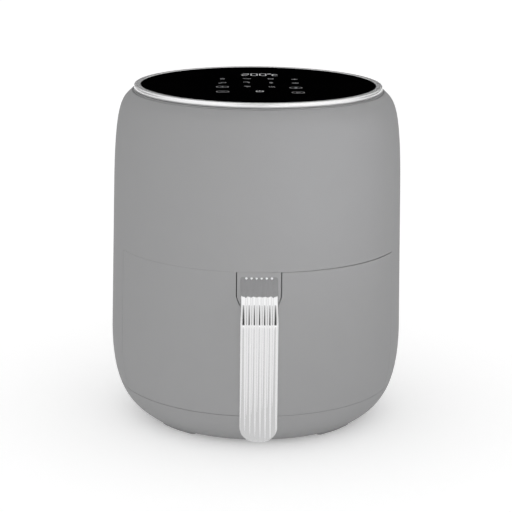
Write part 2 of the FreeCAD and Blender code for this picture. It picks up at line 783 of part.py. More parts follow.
def bay_posts():
    """Upright fillers between the liner's front edges and the housing, at both sides of the opening."""
    low = drum(BAY_INSET).common(slab(Z_BAY, Z_DECK))
    above_lip = Z_LOW + BASE_LIP_HEIGHT + SEAT_GAP
    high = drum(WALL + SEAT_GAP).common(slab(above_lip, Z_DECK))
    body = low.fuse(high).removeSplitter()
    front = front_sector(DRAWER_HALF_ANGLE, Z_BAY, Z_DECK)
    back = -liner_front() - SEAT_GAP
    body = body.cut([front, block(-BIG, BIG, back, BIG, Z_BAY, Z_DECK)])
    body = body.cut(block(-LINER_R, LINER_R, -BIG, BIG, Z_BAY, Z_DECK))
    return Part.makeCompound(body.Solids)


def switch_turn(shape):
    """Turn a shape built at the front to the angle of the door switch."""
    return turned_copies(shape, [SWITCH_ANGLE])[0]


def switch_radius():
    return DOME_FLANGE_R + SWITCH_FLANGE_GAP + SWITCH_DEPTH / 2


def chamber_deck():
    shape = drum(WALL + SEAT_GAP).common(slab(Z_DECK, Z_DECK_TOP))
    shape = shape.cut(disc(LINER_R, Z_DECK, Z_DECK_TOP))
    holes = [disc(DECK_SCREW_R + SCREW_FIT, Z_DECK, Z_DECK_TOP, p.x, p.y) for p in lug_places()]
    plunger = disc(PLUNGER_R + SLIDE_GAP, Z_DECK, Z_DECK_TOP, 0, -switch_radius())
    holes.append(switch_turn(plunger))
    return shape.cut(holes)


def deck_screws():
    screws = []
    for place in lug_places():
        top = Z_DECK_TOP + DECK_SCREW_HEAD
        head = disc(DECK_SCREW_HEAD_R, Z_DECK_TOP, top, place.x, place.y)
        shank = disc(DECK_SCREW_R, Z_DECK - LUG_HEIGHT / 2, top, place.x, place.y)
        screws.append(head.fuse(shank).removeSplitter())
    return Part.makeCompound(screws)


def dome_profile(radius, z0, z1, flange_r):
    """Half profile of a lidded drum with a round corner, closed on the axis."""
    corner = DOME_CORNER - (LINER_R + DOME_SHEET - radius)
    mid = corner * (1 - math.sqrt(0.5))
    foot = vec(flange_r, 0, z0)
    side = vec(radius, 0, z1 - corner)
    bend = vec(radius - mid, 0, z1 - mid)
    top = vec(radius - corner, 0, z1)
    edges = [arc(side, bend, top), line(top, vec(0, 0, z1)), line(vec(0, 0, z1), vec(0, 0, z0))]
    edges.append(line(vec(0, 0, z0), foot))
    if flange_r > radius:
        flange_top = vec(flange_r, 0, z0 + DOME_SHEET)
        wall_foot = vec(radius, 0, z0 + DOME_SHEET)
        edges += [line(foot, flange_top), line(flange_top, wall_foot), line(wall_foot, side)]
    else:
        edges.append(line(foot, side))
    return edges


def chamber_dome():
    outer = revolve(dome_profile(LINER_R + DOME_SHEET, Z_DECK_TOP, Z_ROOF, DOME_FLANGE_R))
    inner = revolve(dome_profile(LINER_R, Z_DECK_TOP, Z_ROOF - DOME_SHEET, LINER_R))
    shape = outer.cut(inner)
    cuts = [disc(SHAFT_R + DOME_SHAFT_GAP, Z_DECK_TOP, Z_ROOF)]
    for place in element_leg_places():
        cuts.append(disc(INSULATOR_R + SCREW_FIT, Z_ELEMENT, Z_ROOF, place.x, place.y))
    cuts.append(sensor_rod(SENSOR_R + SCREW_FIT, SENSOR_REACH))
    cuts.append(duct_block(0.0))
    return shape.cut(cuts)


def duct_block(grow):
    """Passage of the air outlet through the rear, grown by a sheet's thickness on every side."""
    half = DUCT_WIDTH / 2 + grow
    z0 = Z_DECK_TOP + DUCT_LIFT - grow
    z1 = Z_DECK_TOP + DUCT_LIFT + DUCT_HEIGHT + grow
    return block(-half, half, LINER_R / 2, BIG, z0, z1)


def exhaust_duct():
    tube = duct_block(DUCT_SHEET).cut(duct_block(0.0))
    z0 = Z_DECK_TOP
    tube = tube.common(drum(WALL + SEAT_GAP))
    return tube.cut(disc(LINER_R + DOME_SHEET + SEAT_GAP, z0, Z_ROOF))


def element_guard():
    radii = [LINER_R - inset for inset in GUARD_RING_INSETS]
    rings = [Part.makeTorus(r, GUARD_WIRE_R, vec(0, 0, Z_GUARD)) for r in radii]
    start = radii[0] - GUARD_WIRE_R
    z = Z_GUARD - 2 * GUARD_WIRE_R + GUARD_WELD
    length = LINER_R - SLIDE_GAP - start
    spoke = Part.makeCylinder(GUARD_WIRE_R, length, vec(start, 0, z), vec(1, 0, 0))
    return fuse(rings + turned_copies(spoke, spread(GUARD_SPOKES, 180.0 / GUARD_SPOKES)))


def element_radii():
    return [ELEMENT_OUTER_R - ELEMENT_STEP * i for i in range(ELEMENT_HALF_TURNS + 1)]


def element_arcs():
    """Half turns of the spiral: centre on the Y axis, radius, and the side that it passes."""
    radii = element_radii()
    arcs = []
    for i in range(ELEMENT_HALF_TURNS):
        sign = 1 if i % 2 == 0 else -1
        centre = sign * (radii[i] - radii[i + 1]) / 2
        arcs.append((centre, (radii[i] + radii[i + 1]) / 2, -sign))
    return arcs


def element_leg_places():
    radii = element_radii()
    last = radii[-1] if ELEMENT_HALF_TURNS % 2 == 0 else -radii[-1]
    return [vec(ELEMENT_LEG_X, radii[0], 0), vec(-ELEMENT_LEG_X, last, 0)]


def element_leg(place, inner_x):
    """Edges of one leg: from the spiral's end sideways, round a bend and straight up."""
    side = 1 if place.x > inner_x else -1
    bend_x = place.x - side * ELEMENT_BEND_R
    mid = ELEMENT_BEND_R * math.sqrt(0.5)
    z_bend = Z_ELEMENT + ELEMENT_BEND_R
    low = vec(bend_x, place.y, Z_ELEMENT)
    middle = vec(bend_x + side * mid, place.y, z_bend - mid)
    high = vec(place.x, place.y, z_bend)
    top = vec(place.x, place.y, Z_ROOF + ELEMENT_LEG_RISE)
    run = line(vec(inner_x, place.y, Z_ELEMENT), low)
    return [run, arc(low, middle, high), line(high, top)]


def heating_element():
    start, end = element_leg_places()
    first_leg = element_leg(start, 0.0)
    last_leg = element_leg(end, 0.0)
    turns = []
    radii = element_radii()
    for i, (centre, radius, side) in enumerate(element_arcs()):
        sign = 1 if i % 2 == 0 else -1
        a = vec(0, sign * radii[i], Z_ELEMENT)
        b = vec(side * radius, centre, Z_ELEMENT)
        c = vec(0, -sign * radii[i + 1], Z_ELEMENT)
        turns.append(arc(a, b, c))
    path = Part.Wire(Part.__sortEdges__(first_leg + turns + last_leg))
    top = vec(start.x, start.y, Z_ROOF + ELEMENT_LEG_RISE)
    section = Part.Wire(Part.makeCircle(ELEMENT_R, top, vec(0, 0, 1)))
    tube = path.makePipeShell([section], True, False)
    print("heating element: least gap between turns %.2f mm" % least_gap(path))
    return tube


def least_gap(path):
    """Least gap between stretches of the tube that lie more than a bend apart along its path."""
    points = path.discretize(Distance=ELEMENT_R)
    apart = math.ceil(math.pi * ELEMENT_BEND_R / ELEMENT_R)
    nearest = BIG
    for i, point in enumerate(points):
        for other in points[i + apart:]:
            nearest = min(nearest, point.distanceToPoint(other))
    return nearest - 2 * ELEMENT_R


def clip_crossings(angle):
    """Distances from the axis at which the spiral crosses a ray, measured from +X."""
    turn = math.radians(angle)
    crossings = []
    for centre, radius, side in element_arcs():
        if side * math.cos(turn) >= -1e-6:
            reach = centre * math.sin(turn)
            root = math.sqrt(radius ** 2 - (centre * math.cos(turn)) ** 2)
            crossings.append(reach + root)
    return sorted({round(r, 3) for r in crossings})


def element_clips():
    clips = []
    half = CLIP_SHEET / 2
    for angle in CLIP_ANGLES:
        crossings = clip_crossings(angle)
        x0 = crossings[0] - CLIP_MARGIN
        x1 = crossings[-1] + CLIP_MARGIN
        z0 = Z_ELEMENT - CLIP_MARGIN
        z1 = Z_ELEMENT + CLIP_MARGIN
        comb = block(x0, x1, -half, half, z0, z1)
        stem = block(x1 - CLIP_STEM, x1, -half, half, z0, Z_ROOF - DOME_SHEET)
        foot = block(x1 - CLIP_STEM, x1, -CLIP_STEM / 2, CLIP_STEM / 2,
                     Z_ROOF - DOME_SHEET - CLIP_SHEET, Z_ROOF - DOME_SHEET)
        clip = fuse([comb, stem, foot])
        hole_r = ELEMENT_R + CLIP_HOLE_GAP
        holes = []
        for r in crossings:
            near = vec(r, -CLIP_STEM / 2, Z_ELEMENT)
            holes.append(Part.makeCylinder(hole_r, CLIP_STEM, near, vec(0, 1, 0)))
        clips += turned_copies(clip.cut(holes), [angle])
    return Part.makeCompound(clips)


def element_insulators():
    bushes = []
    for place in element_leg_places():
        z0 = Z_ROOF - INSULATOR_DEPTH
        body = disc(INSULATOR_R, z0, Z_ROOF + INSULATOR_TOP, place.x, place.y)
        flange = disc(INSULATOR_FLANGE_R, Z_ROOF, Z_ROOF + INSULATOR_FLANGE, place.x, place.y)
        hole = disc(ELEMENT_R + SCREW_FIT, z0, Z_ROOF + INSULATOR_TOP, place.x, place.y)
        bushes.append(body.fuse(flange).removeSplitter().cut(hole))
    return Part.makeCompound(bushes)


def sensor_rod(radius, reach):
    """Radial rod through the chamber wall at the probe's place."""
    z = Z_ELEMENT + SENSOR_LIFT
    outer = LINER_R + DOME_SHEET
    rod = Part.makeCylinder(radius, reach, vec(0, -outer + reach, z), vec(0, -1, 0))
    return turned_copies(rod, [SENSOR_ANGLE])[0]


def temperature_sensor():
    z = Z_ELEMENT + SENSOR_LIFT
    outer = LINER_R + DOME_SHEET
    flange = Part.makeCylinder(SENSOR_FLANGE_R, SENSOR_FLANGE, vec(0, -outer, z), vec(0, -1, 0))
    flange = turned_copies(flange, [SENSOR_ANGLE])[0]
    return sensor_rod(SENSOR_R, SENSOR_REACH).fuse(flange).removeSplitter()


def thermal_cutout():
    half_x = CUTOUT_PLATE_LENGTH / 2
    half_y = CUTOUT_PLATE_WIDTH / 2
    z1 = Z_ROOF + CUTOUT_PLATE
    plate = block(CUTOUT_X - half_x, CUTOUT_X + half_x, CUTOUT_Y - half_y, CUTOUT_Y + half_y, Z_ROOF, z1)
    body = disc(CUTOUT_R, Z_ROOF, z1 + CUTOUT_HEIGHT, CUTOUT_X, CUTOUT_Y)
    return plate.fuse(body).removeSplitter()


# Fan drive


def hub(z0, z1):
    return ring(SHAFT_R + PRESS_FIT, HUB_R, z0, z1)


def convection_fan():
    disc_z = Z_HOT_FAN + HOT_FAN_BLADE
    plate = ring(SHAFT_R + PRESS_FIT, HOT_FAN_R, disc_z, disc_z + HOT_FAN_DISC)
    half = HOT_FAN_BLADE_SHEET / 2
    blade = block(HOT_FAN_EYE_R, HOT_FAN_R, -half, half, Z_HOT_FAN, disc_z)
    blade.rotate(vec(HOT_FAN_R, 0, 0), vec(0, 0, 1), HOT_FAN_SWEEP)
    blade = blade.common(disc(HOT_FAN_R, Z_HOT_FAN, disc_z))
    blades = turned_copies(blade, spread(HOT_FAN_BLADES))
    return fuse([plate, hub(Z_HOT_FAN, disc_z)] + blades)


def fan_nut():
    corner = NUT_FLATS / math.sqrt(3)
    points = [polar(corner, angle, Z_HOT_FAN - NUT_HEIGHT) for angle in spread(6)]
    prism = Part.Face(Part.makePolygon(points + points[:1])).extrude(vec(0, 0, NUT_HEIGHT))
    return prism.cut(disc(SHAFT_R + PRESS_FIT, Z_HOT_FAN - NUT_HEIGHT, Z_HOT_FAN))


def motor_shaft():
    shaft = disc(SHAFT_R, Z_HOT_FAN - NUT_HEIGHT - SHAFT_END, Z_COOL_FAN_TOP + SHAFT_END)
    ends = [e for e in shaft.Edges if e.BoundBox.ZLength < SHAFT_R]
    return shaft.makeChamfer(SHAFT_R / 6, ends)


def cooling_fan():
    half = COOL_FAN_BLADE_SHEET / 2
    reach = COOL_FAN_HEIGHT / 2 / math.sin(math.radians(COOL_FAN_PITCH)) + COOL_FAN_HEIGHT
    middle = (Z_COOL_FAN + Z_COOL_FAN_TOP) / 2
    blade = block(SHAFT_R + half, COOL_FAN_R, -reach, reach, middle - half, middle + half)
    blade.rotate(vec(0, 0, middle), vec(1, 0, 0), COOL_FAN_PITCH)
    swept = ring(HUB_R - half, COOL_FAN_R, Z_COOL_FAN, Z_COOL_FAN_TOP)
    blade = blade.common(swept)
    return fuse([hub(Z_COOL_FAN, Z_COOL_FAN_TOP)] + turned_copies(blade, spread(COOL_FAN_BLADES)))


def motor_bracket():
    plate = ring(BUSH_R + BRACKET_SHEET, BRACKET_LEG_CIRCLE_R + BRACKET_RIM, Z_BRACKET, Z_CAN)
    place = polar(BRACKET_LEG_CIRCLE_R, 0, 0)
    leg = disc(BRACKET_LEG_R, Z_ROOF, Z_CAN, place.x, place.y)
    shape = fuse([plate] + turned_copies(leg, spread(BRACKET_LEGS)))
    return shape.cut(motor_screw_holes())


def motor_screw_holes():
    place = polar(MOTOR_SCREW_CIRCLE_R, 0, 0)
    hole = disc(MOTOR_SCREW_R + SCREW_FIT, Z_BRACKET, Z_CAN + CAN_SHEET, place.x, place.y)
    return turned_copies(hole, spread(MOTOR_SCREWS))


def motor_can():
    outer = disc(CAN_R, Z_CAN, Z_CAN_TOP)
    inner = disc(CAN_R - CAN_SHEET, Z_CAN + CAN_SHEET, Z_CAN_TOP - CAN_SHEET)
    boss_r = BUSH_R + CAN_SHEET
    low_boss = disc(boss_r, Z_CAN, Z_CAN + BUSH_LENGTH)
    high_boss = disc(boss_r, Z_CAN_TOP - BUSH_LENGTH, Z_CAN_TOP)
    shape = fuse([outer.cut(inner), low_boss, high_boss])
    return shape.cut([disc(BUSH_R + PRESS_FIT, Z_CAN, Z_CAN_TOP)] + motor_screw_holes())


def stator_levels():
    return Z_CAN + STATOR_END_GAP, Z_CAN_TOP - STATOR_END_GAP


def motor_stator():
    z0, z1 = stator_levels()
    inner = ROTOR_R + ROTOR_GAP
    shape = ring(inner, CAN_R - CAN_SHEET - PRESS_FIT, z0, z1)
    half = STATOR_SLOT / 2
    slot = block(0, inner + STATOR_SLOT_DEPTH, -half, half, z0, z1)
    return shape.cut(turned_copies(slot, spread(STATOR_SLOTS)))


def motor_windings():
    z0, z1 = stator_levels()
    inner = ROTOR_R + ROTOR_GAP + STATOR_SLOT_DEPTH / 2
    outer = inner + WINDING_WALL
    low = ring(inner, outer, z0 - WINDING_HEIGHT, z0)
    high = ring(inner, outer, z1, z1 + WINDING_HEIGHT)
    return Part.makeCompound([low, high])


def motor_rotor():
    z0, z1 = stator_levels()
    return ring(SHAFT_R + PRESS_FIT, ROTOR_R, z0, z1)


def motor_bushes():
    inner = SHAFT_R + RUNNING_FIT
    low = ring(inner, BUSH_R, Z_CAN, Z_CAN + BUSH_LENGTH)
    high = ring(inner, BUSH_R, Z_CAN_TOP - BUSH_LENGTH, Z_CAN_TOP)
    return Part.makeCompound([low, high])


def motor_screws():
    place = polar(MOTOR_SCREW_CIRCLE_R, 0, 0)
    head = disc(MOTOR_SCREW_HEAD_R, Z_BRACKET - MOTOR_SCREW_HEAD, Z_BRACKET, place.x, place.y)
    tip = Z_CAN + MOTOR_SCREW_REACH
    shank = disc(MOTOR_SCREW_R, Z_BRACKET - MOTOR_SCREW_HEAD, tip, place.x, place.y)
    screw = head.fuse(shank).removeSplitter()
    return Part.makeCompound(turned_copies(screw, spread(MOTOR_SCREWS)))


# Power electronics


def power_board_corner():
    y0 = BRACKET_LEG_CIRCLE_R + BRACKET_RIM + POWER_BOARD_MOTOR_GAP
    return -POWER_BOARD_LENGTH / 2, y0


def standoff_places():
    x0, y0 = power_board_corner()
    xs = (x0 + POWER_BOARD_EDGE, x0 + POWER_BOARD_LENGTH - POWER_BOARD_EDGE)
    ys = (y0 + POWER_BOARD_EDGE, y0 + POWER_BOARD_WIDTH - POWER_BOARD_EDGE)
    return [(x, y) for x in xs for y in ys]


def board_standoffs():
    return Part.makeCompound([disc(STANDOFF_R, Z_ROOF, Z_ROOF + STANDOFF_HEIGHT, x, y)
                              for x, y in standoff_places()])


def power_board():
    x0, y0 = power_board_corner()
    z0 = Z_ROOF + STANDOFF_HEIGHT
    plate = block(x0, x0 + POWER_BOARD_LENGTH, y0, y0 + POWER_BOARD_WIDTH, z0, z0 + BOARD_SHEET)
    leg_r = INSULATOR_FLANGE_R + SLIDE_GAP
    notches = [disc(leg_r, z0, z0 + BOARD_SHEET, p.x, p.y) for p in element_leg_places()]
    return plate.cut(notches)


def power_components():
    x0, y0 = power_board_corner()
    z0 = Z_ROOF + STANDOFF_HEIGHT + BOARD_SHEET
    y1 = y0 + POWER_BOARD_EDGE
    edge = POWER_BOARD_EDGE
    x1 = x0 + POWER_BOARD_LENGTH - edge
    relay = block(x0 + edge, x0 + edge + RELAY_LENGTH, y1, y1 + RELAY_WIDTH, z0, z0 + RELAY_HEIGHT)
    transformer = block(x1 - TRANSFORMER_LENGTH, x1, y1, y1 + TRANSFORMER_WIDTH,
                        z0, z0 + TRANSFORMER_HEIGHT)
    cap_x = x1 - TRANSFORMER_LENGTH - CAPACITOR_GAP - CAPACITOR_R
    capacitor = disc(CAPACITOR_R, z0, z0 + CAPACITOR_HEIGHT, cap_x, y1 + CAPACITOR_R)
    return Part.makeCompound([relay, transformer, capacitor])


def drawer_switch():
    y = -switch_radius()
    half = SWITCH_LENGTH / 2
    depth = SWITCH_DEPTH / 2
    body = block(-half, half, y - depth, y + depth, Z_DECK_TOP, Z_SWITCH_TOP)
    bore_top = Z_DECK_TOP + PLUNGER_IN_SWITCH + PLUNGER_HEADROOM
    body = body.cut(disc(PLUNGER_R + SLIDE_GAP, Z_DECK_TOP, bore_top, 0, y))
    return switch_turn(body)


def switch_plunger():
    z0 = Z_BACK_SHELL_TOP + SLIDE_GAP
    pin = disc(PLUNGER_R, z0, Z_DECK_TOP + PLUNGER_IN_SWITCH, 0, -switch_radius())
    low_edges = [e for e in pin.Edges if e.BoundBox.ZMax < z0 + PLUNGER_R]
    return switch_turn(pin.makeFillet(PLUNGER_R / 2, low_edges))


# Drawer


def side_angle(gap):
    """Angle that a gap takes up at the drum's widest part."""
    return math.degrees(gap / BELT_R)


def notch_prism(gap):
    """Outline of the handle's root seen from the front, drawn in by a gap, as a prism towards -Y."""
    top = Z_HIGH
    half = NOTCH_WIDTH / 2 - gap
    foot = NOTCH_FOOT_WIDTH / 2 - gap
    shoulder = Z_HIGH - NOTCH_STRAIGHT
    bottom = Z_HIGH - NOTCH_HEIGHT + gap
    left = [(-half, top), (-half, shoulder), (-foot, bottom)]
    right = [(-x, z) for x, z in reversed(left)]
    corners = [vec(x, 0, z) for x, z in left + right]
    face = Part.Face(Part.makePolygon(corners + corners[:1]))
    return face.extrude(vec(0, -BIG, 0))


def drawer_front():
    skin = drum(0).cut(drum(WALL))
    angle = DRAWER_HALF_ANGLE - side_angle(DRAWER_SIDE_GAP)
    skin = skin.common(front_sector(angle, Z_LOW + SEAM_GAP, Z_HIGH - SEAM_GAP))
    return skin.cut(notch_prism(0.0)).removeSplitter()


def drawer_back_shell():
    angle = DRAWER_HALF_ANGLE - BACK_SHELL_SIDE_ANGLE
    wall_angle = math.degrees(BACK_SHELL_WALL / BACK_SHELL_R)
    rim = drum(WALL + SEAT_GAP)
    body = rim.common(front_sector(angle, Z_BACK_SHELL, Z_BACK_SHELL_TOP))
    body = body.cut(disc(BACK_SHELL_R, Z_BACK_SHELL, Z_BACK_SHELL_TOP))
    z0 = Z_BACK_SHELL + BACK_SHELL_WALL
    z1 = Z_BACK_SHELL_TOP - BACK_SHELL_WALL
    hollow = front_sector(angle - wall_angle, z0, z1)
    hollow = hollow.cut(disc(BACK_SHELL_R + BACK_SHELL_WALL, z0, z1))
    room = notch_prism(0.0).cut(disc(BACK_SHELL_R + BACK_SHELL_WALL, Z_BASE, Z_RIM))
    return body.cut([hollow, room] + handle_screw_holes()).removeSplitter()


def pan_wall_radius(z):
    """Outer radius of the pan's tapered wall at a height."""
    return PAN_BOTTOM_R + (PAN_TOP_R - PAN_BOTTOM_R) * (z - Z_PAN) / (Z_PAN_TOP - Z_PAN)


def pan_solid(inset, z0, z1):
    """Filled bowl with a round lower corner, drawn in from the pan's outside by an inset."""
    corner = PAN_CORNER - inset
    bottom_r = pan_wall_radius(z0) - inset
    top_r = pan_wall_radius(z1) - inset
    profile = turned([(0, z0), (bottom_r, z0), (top_r, z1), (0, z1)])
    low_edges = [e for e in profile.Edges if e.BoundBox.ZMax < z0 + corner / 2]
    round_edges = [e for e in low_edges if e.BoundBox.XLength > bottom_r]
    return profile.makeFillet(corner, round_edges)


def pan_floor():
    return Z_PAN + PAN_SHEET


def pan():
    body = pan_solid(0.0, Z_PAN, Z_PAN_TOP)
    rim = disc(PAN_RIM_R, Z_PAN_TOP - PAN_SHEET, Z_PAN_TOP)
    hollow = pan_solid(PAN_SHEET, pan_floor(), Z_PAN_TOP)
    return body.fuse(rim).removeSplitter().cut(hollow)


def pan_bracket_top():
    return Z_PAN_TOP - PAN_SHEET - SEAT_GAP


def handle_screw_level():
    return pan_bracket_top() - PAN_BRACKET_SHEET - HANDLE_SCREW_HEAD_R - HANDLE_SCREW_ROOM


def handle_screw_holes():
    z = handle_screw_level()
    radius = HANDLE_SCREW_R + SCREW_FIT
    tip = BACK_SHELL_R + BACK_SHELL_WALL + HANDLE_SCREW_REACH + SCREW_FIT
    start = PAN_TOP_R
    return [Part.makeCylinder(radius, tip - start, vec(x, -start, z), vec(0, -1, 0))
            for x in (-HANDLE_SCREW_X, HANDLE_SCREW_X)]


def pan_bracket():
    """Folded bracket between the pan's wall and the back shell, under the pan's rim."""
    z1 = pan_bracket_top()
    z0 = z1 - PAN_BRACKET_HEIGHT
    half = PAN_BRACKET_HALF
    sheet = PAN_BRACKET_SHEET
    outer_r = BACK_SHELL_R - SEAT_GAP
    body = block(-half, half, -BIG, 0, z0, z1).common(disc(outer_r, z0, z1))
    wall_gap = pan_solid(-SEAT_GAP, Z_PAN - SEAT_GAP, Z_PAN_TOP)
    room = block(sheet - half, half - sheet, -BIG, 0, z0, z1 - sheet).common(disc(outer_r - sheet, z0, z1))
    return body.cut([wall_gap, room] + handle_screw_holes()).removeSplitter()


def handle_screws():
    z = handle_screw_level()
    tip = BACK_SHELL_R + BACK_SHELL_WALL + HANDLE_SCREW_REACH
    seat_r = BACK_SHELL_R - SEAT_GAP - PAN_BRACKET_SHEET
    edge_x = HANDLE_SCREW_X + HANDLE_SCREW_HEAD_R
    seat = math.sqrt(seat_r ** 2 - edge_x ** 2)
    screws = []
    for x in (-HANDLE_SCREW_X, HANDLE_SCREW_X):
        back = seat - HANDLE_SCREW_HEAD
        head = Part.makeCylinder(HANDLE_SCREW_HEAD_R, HANDLE_SCREW_HEAD, vec(x, -back, z), vec(0, -1, 0))
        shank = Part.makeCylinder(HANDLE_SCREW_R, tip - back, vec(x, -back, z), vec(0, -1, 0))
        screws.append(head.fuse(shank).removeSplitter())
    return Part.makeCompound(screws)


def handle_root():
    """Block that fills the notch of the drawer front, flush with the drum."""
    body = notch_prism(NOTCH_GAP).common(drum(0))
    body = body.common(slab(Z_LOW, Z_HIGH - SEAM_GAP))
    body = body.cut(disc(BACK_SHELL_R + BACK_SHELL_WALL + SEAT_GAP, Z_LOW, Z_RIM))
    return body.cut(handle_screw_holes()).removeSplitter()


def handle_path():
    """Start, bend start, bend centre and tip level of the handle's outer face, in the Y-Z plane."""
    droop = math.radians(HANDLE_DROOP)
    z = Z_HIGH - HANDLE_TOP_DROP
    ahead = vec(0, -math.cos(droop), -math.sin(droop))
    inward = vec(0, math.sin(droop), -math.cos(droop))
    start = vec(0, -drum_radius(z), z)
    bend = start + ahead * HANDLE_RUN
    centre = bend + inward * HANDLE_BEND_R
    return start, bend, centre, ahead, inward


def handle_reach():
    """Distance from the drum's axis to the handle's outer face."""
    return HANDLE_BEND_R - handle_path()[2].y


def handle_bar(section):
    """Carry a flat section of width and depth along the handle: straight, round the bend, straight down."""
    start, bend, centre, ahead, inward = handle_path()
    root = start - ahead * HANDLE_RUN
    face = Part.Face(Part.Wire(Part.__sortEdges__(section(root, inward))))
    first = face.extrude(bend - root)
    face = Part.Face(Part.Wire(Part.__sortEdges__(section(bend, inward))))
    turn = 90 - HANDLE_DROOP
    second = face.revolve(centre, vec(1, 0, 0), turn)
    low = vec(0, centre.y - HANDLE_BEND_R, centre.z)
    face = Part.Face(Part.Wire(Part.__sortEdges__(section(low, vec(0, 1, 0)))))
    third = face.extrude(vec(0, 0, handle_tip() - centre.z))
    return fuse([first, second, third]).cut(drum(-SEAT_GAP))


def handle_tip():
    return Z_LOW - HANDLE_TIP_DROP


def fluted_section(origin, inward):
    """Section of the cover: flat back, straight sides and a row of convex ribs between two narrow edges."""
    half = HANDLE_WIDTH / 2
    band = half - HANDLE_EDGE
    pitch = 2 * band / HANDLE_RIBS

    def at(x, depth):
        return vec(x, 0, 0) + origin + inward * depth

    edges = [
        line(at(half, HANDLE_RIB_HEIGHT), at(half, HANDLE_COVER)),
        line(at(half, HANDLE_COVER), at(-half, HANDLE_COVER)),
        line(at(-half, HANDLE_COVER), at(-half, HANDLE_RIB_HEIGHT)),
        line(at(-half, HANDLE_RIB_HEIGHT), at(-band, HANDLE_RIB_HEIGHT)),
        line(at(band, HANDLE_RIB_HEIGHT), at(half, HANDLE_RIB_HEIGHT)),
    ]
    for i in range(HANDLE_RIBS):
        x = -band + pitch * i
        valley = HANDLE_RIB_HEIGHT
        edges.append(arc(at(x, valley), at(x + pitch / 2, 0), at(x + pitch, valley)))
    return edges


def core_section(origin, inward):
    """Section of the core behind the cover, with its two rear corners rounded for the fingers."""
    half = HANDLE_WIDTH / 2 - HANDLE_CORE_INSET
    front = HANDLE_COVER + SEAT_GAP
    back = front + HANDLE_CORE
    r = HANDLE_CORE_ROUND
    mid = r * (1 - math.sqrt(0.5))

    def at(x, depth):
        return vec(x, 0, 0) + origin + inward * depth

    return [
        line(at(-half, front), at(half, front)),
        line(at(half, front), at(half, back - r)),
        arc(at(half, back - r), at(half - mid, back - mid), at(half - r, back)),
        line(at(half - r, back), at(r - half, back)),
        arc(at(r - half, back), at(mid - half, back - mid), at(-half, back - r)),
        line(at(-half, back - r), at(-half, front)),
    ]


def handle_outline(inset):
    """Front view of the handle with its rounded tip, as a prism towards -Y."""
    half = HANDLE_WIDTH / 2 - inset
    r = HANDLE_TIP_ROUND - inset
    z0 = handle_tip() + inset
    mid = r * (1 - math.sqrt(0.5))
    edges = [
        line(vec(-half, 0, Z_HIGH), vec(half, 0, Z_HIGH)),
        line(vec(half, 0, Z_HIGH), vec(half, 0, z0 + r)),
        arc(vec(half, 0, z0 + r), vec(half - mid, 0, z0 + mid), vec(half - r, 0, z0)),
        line(vec(half - r, 0, z0), vec(r - half, 0, z0)),
        arc(vec(r - half, 0, z0), vec(mid - half, 0, z0 + mid), vec(-half, 0, z0 + r)),
        line(vec(-half, 0, z0 + r), vec(-half, 0, Z_HIGH)),
    ]
    face = Part.Face(Part.Wire(Part.__sortEdges__(edges)))
    return face.extrude(vec(0, -BIG, 0))


def handle_cover():
    return handle_bar(fluted_section).common(handle_outline(0.0))


def handle_core():
    return handle_bar(core_section).common(handle_outline(HANDLE_CORE_INSET))


# Crisper plate


def plate_level():
    return pan_floor() + PLATE_LEG


def plate_radius():
    return pan_wall_radius(plate_level()) - PAN_SHEET - PLATE_WALL_GAP


def slot_rings():
    """Start and end radius of each ring of slots, evenly set between the finger hole and the rim."""
    inner = PLATE_HOLE_R + PLATE_SHEET + SLOT_LAND
    outer = plate_radius() - PLATE_SHEET - SLOT_LAND
    rings = len(SLOT_COUNTS)
    length = (outer - inner - SLOT_LAND * (rings - 1)) / rings
    starts = [inner + (length + SLOT_LAND) * i for i in range(rings)]
    return [(start, start + length) for start in starts]


def crisper_plate():
    z0 = plate_level()
    z1 = z0 + PLATE_SHEET
    outer = plate_radius()
    plate = disc(outer, z0, z1)
    rim = ring(outer - PLATE_SHEET, outer, z0, z0 + PLATE_RIM)
    collar = ring(PLATE_HOLE_R, PLATE_HOLE_R + PLATE_SHEET, z0, z0 + PLATE_RIM)
    leg_r = slot_rings()[-1][0] - SLOT_LAND / 2
    place = polar(leg_r, 0, 0)
    leg = disc(PLATE_LEG_R, pan_floor() + SLIDE_GAP, z1, place.x, place.y)
    shape = fuse([plate, rim, collar] + turned_copies(leg, spread(PLATE_LEGS, 45)))
    cuts = [disc(PLATE_HOLE_R, z0, z1)]
    half = SLOT_WIDTH / 2
    for (start, end), count in zip(slot_rings(), SLOT_COUNTS):
        bar = block(start + half, end - half, -half, half, z0, z1)
        slot = fuse([bar, disc(half, z0, z1, start + half, 0), disc(half, z0, z1, end - half, 0)])
        cuts += turned_copies(slot, spread(count))
    return shape.cut(cuts)


def plate_bumpers():
    """Soft blocks between the plate's rim and the pan's wall."""
    z0 = plate_level()
    z1 = z0 + PLATE_RIM
    inside = pan_solid(PAN_SHEET + SLIDE_GAP, pan_floor(), Z_PAN_TOP)
    band = inside.common(slab(z0, z1)).cut(disc(plate_radius() + PRESS_FIT, z0, z1))
    half = BUMPER_WIDTH / 2
    bar = block(-half, half, -BIG, 0, z0, z1)
    return Part.makeCompound([band.common(b) for b in turned_copies(bar, spread(PLATE_LEGS, 45))])


PIECES = (
    outer_housing, base_moulding, rubber_feet, base_screws, rear_grille, cord_gland,
    panel_carrier, carrier_screws, control_board, display_module, touch_pads, control_glass, trim_ring,
    bay_floor, drawer_runners, cavity_liner, bay_posts, chamber_deck, deck_screws, chamber_dome, exhaust_duct,
    element_guard, heating_element, element_clips, element_insulators, temperature_sensor, thermal_cutout,
    convection_fan, fan_nut, motor_shaft, cooling_fan, motor_bracket, motor_can, motor_stator,
    motor_windings, motor_rotor, motor_bushes, motor_screws,
    board_standoffs, power_board, power_components, drawer_switch, switch_plunger,
    drawer_front, drawer_back_shell, pan, pan_bracket, handle_screws, handle_root, handle_core, handle_cover,
    crisper_plate, plate_bumpers,
)

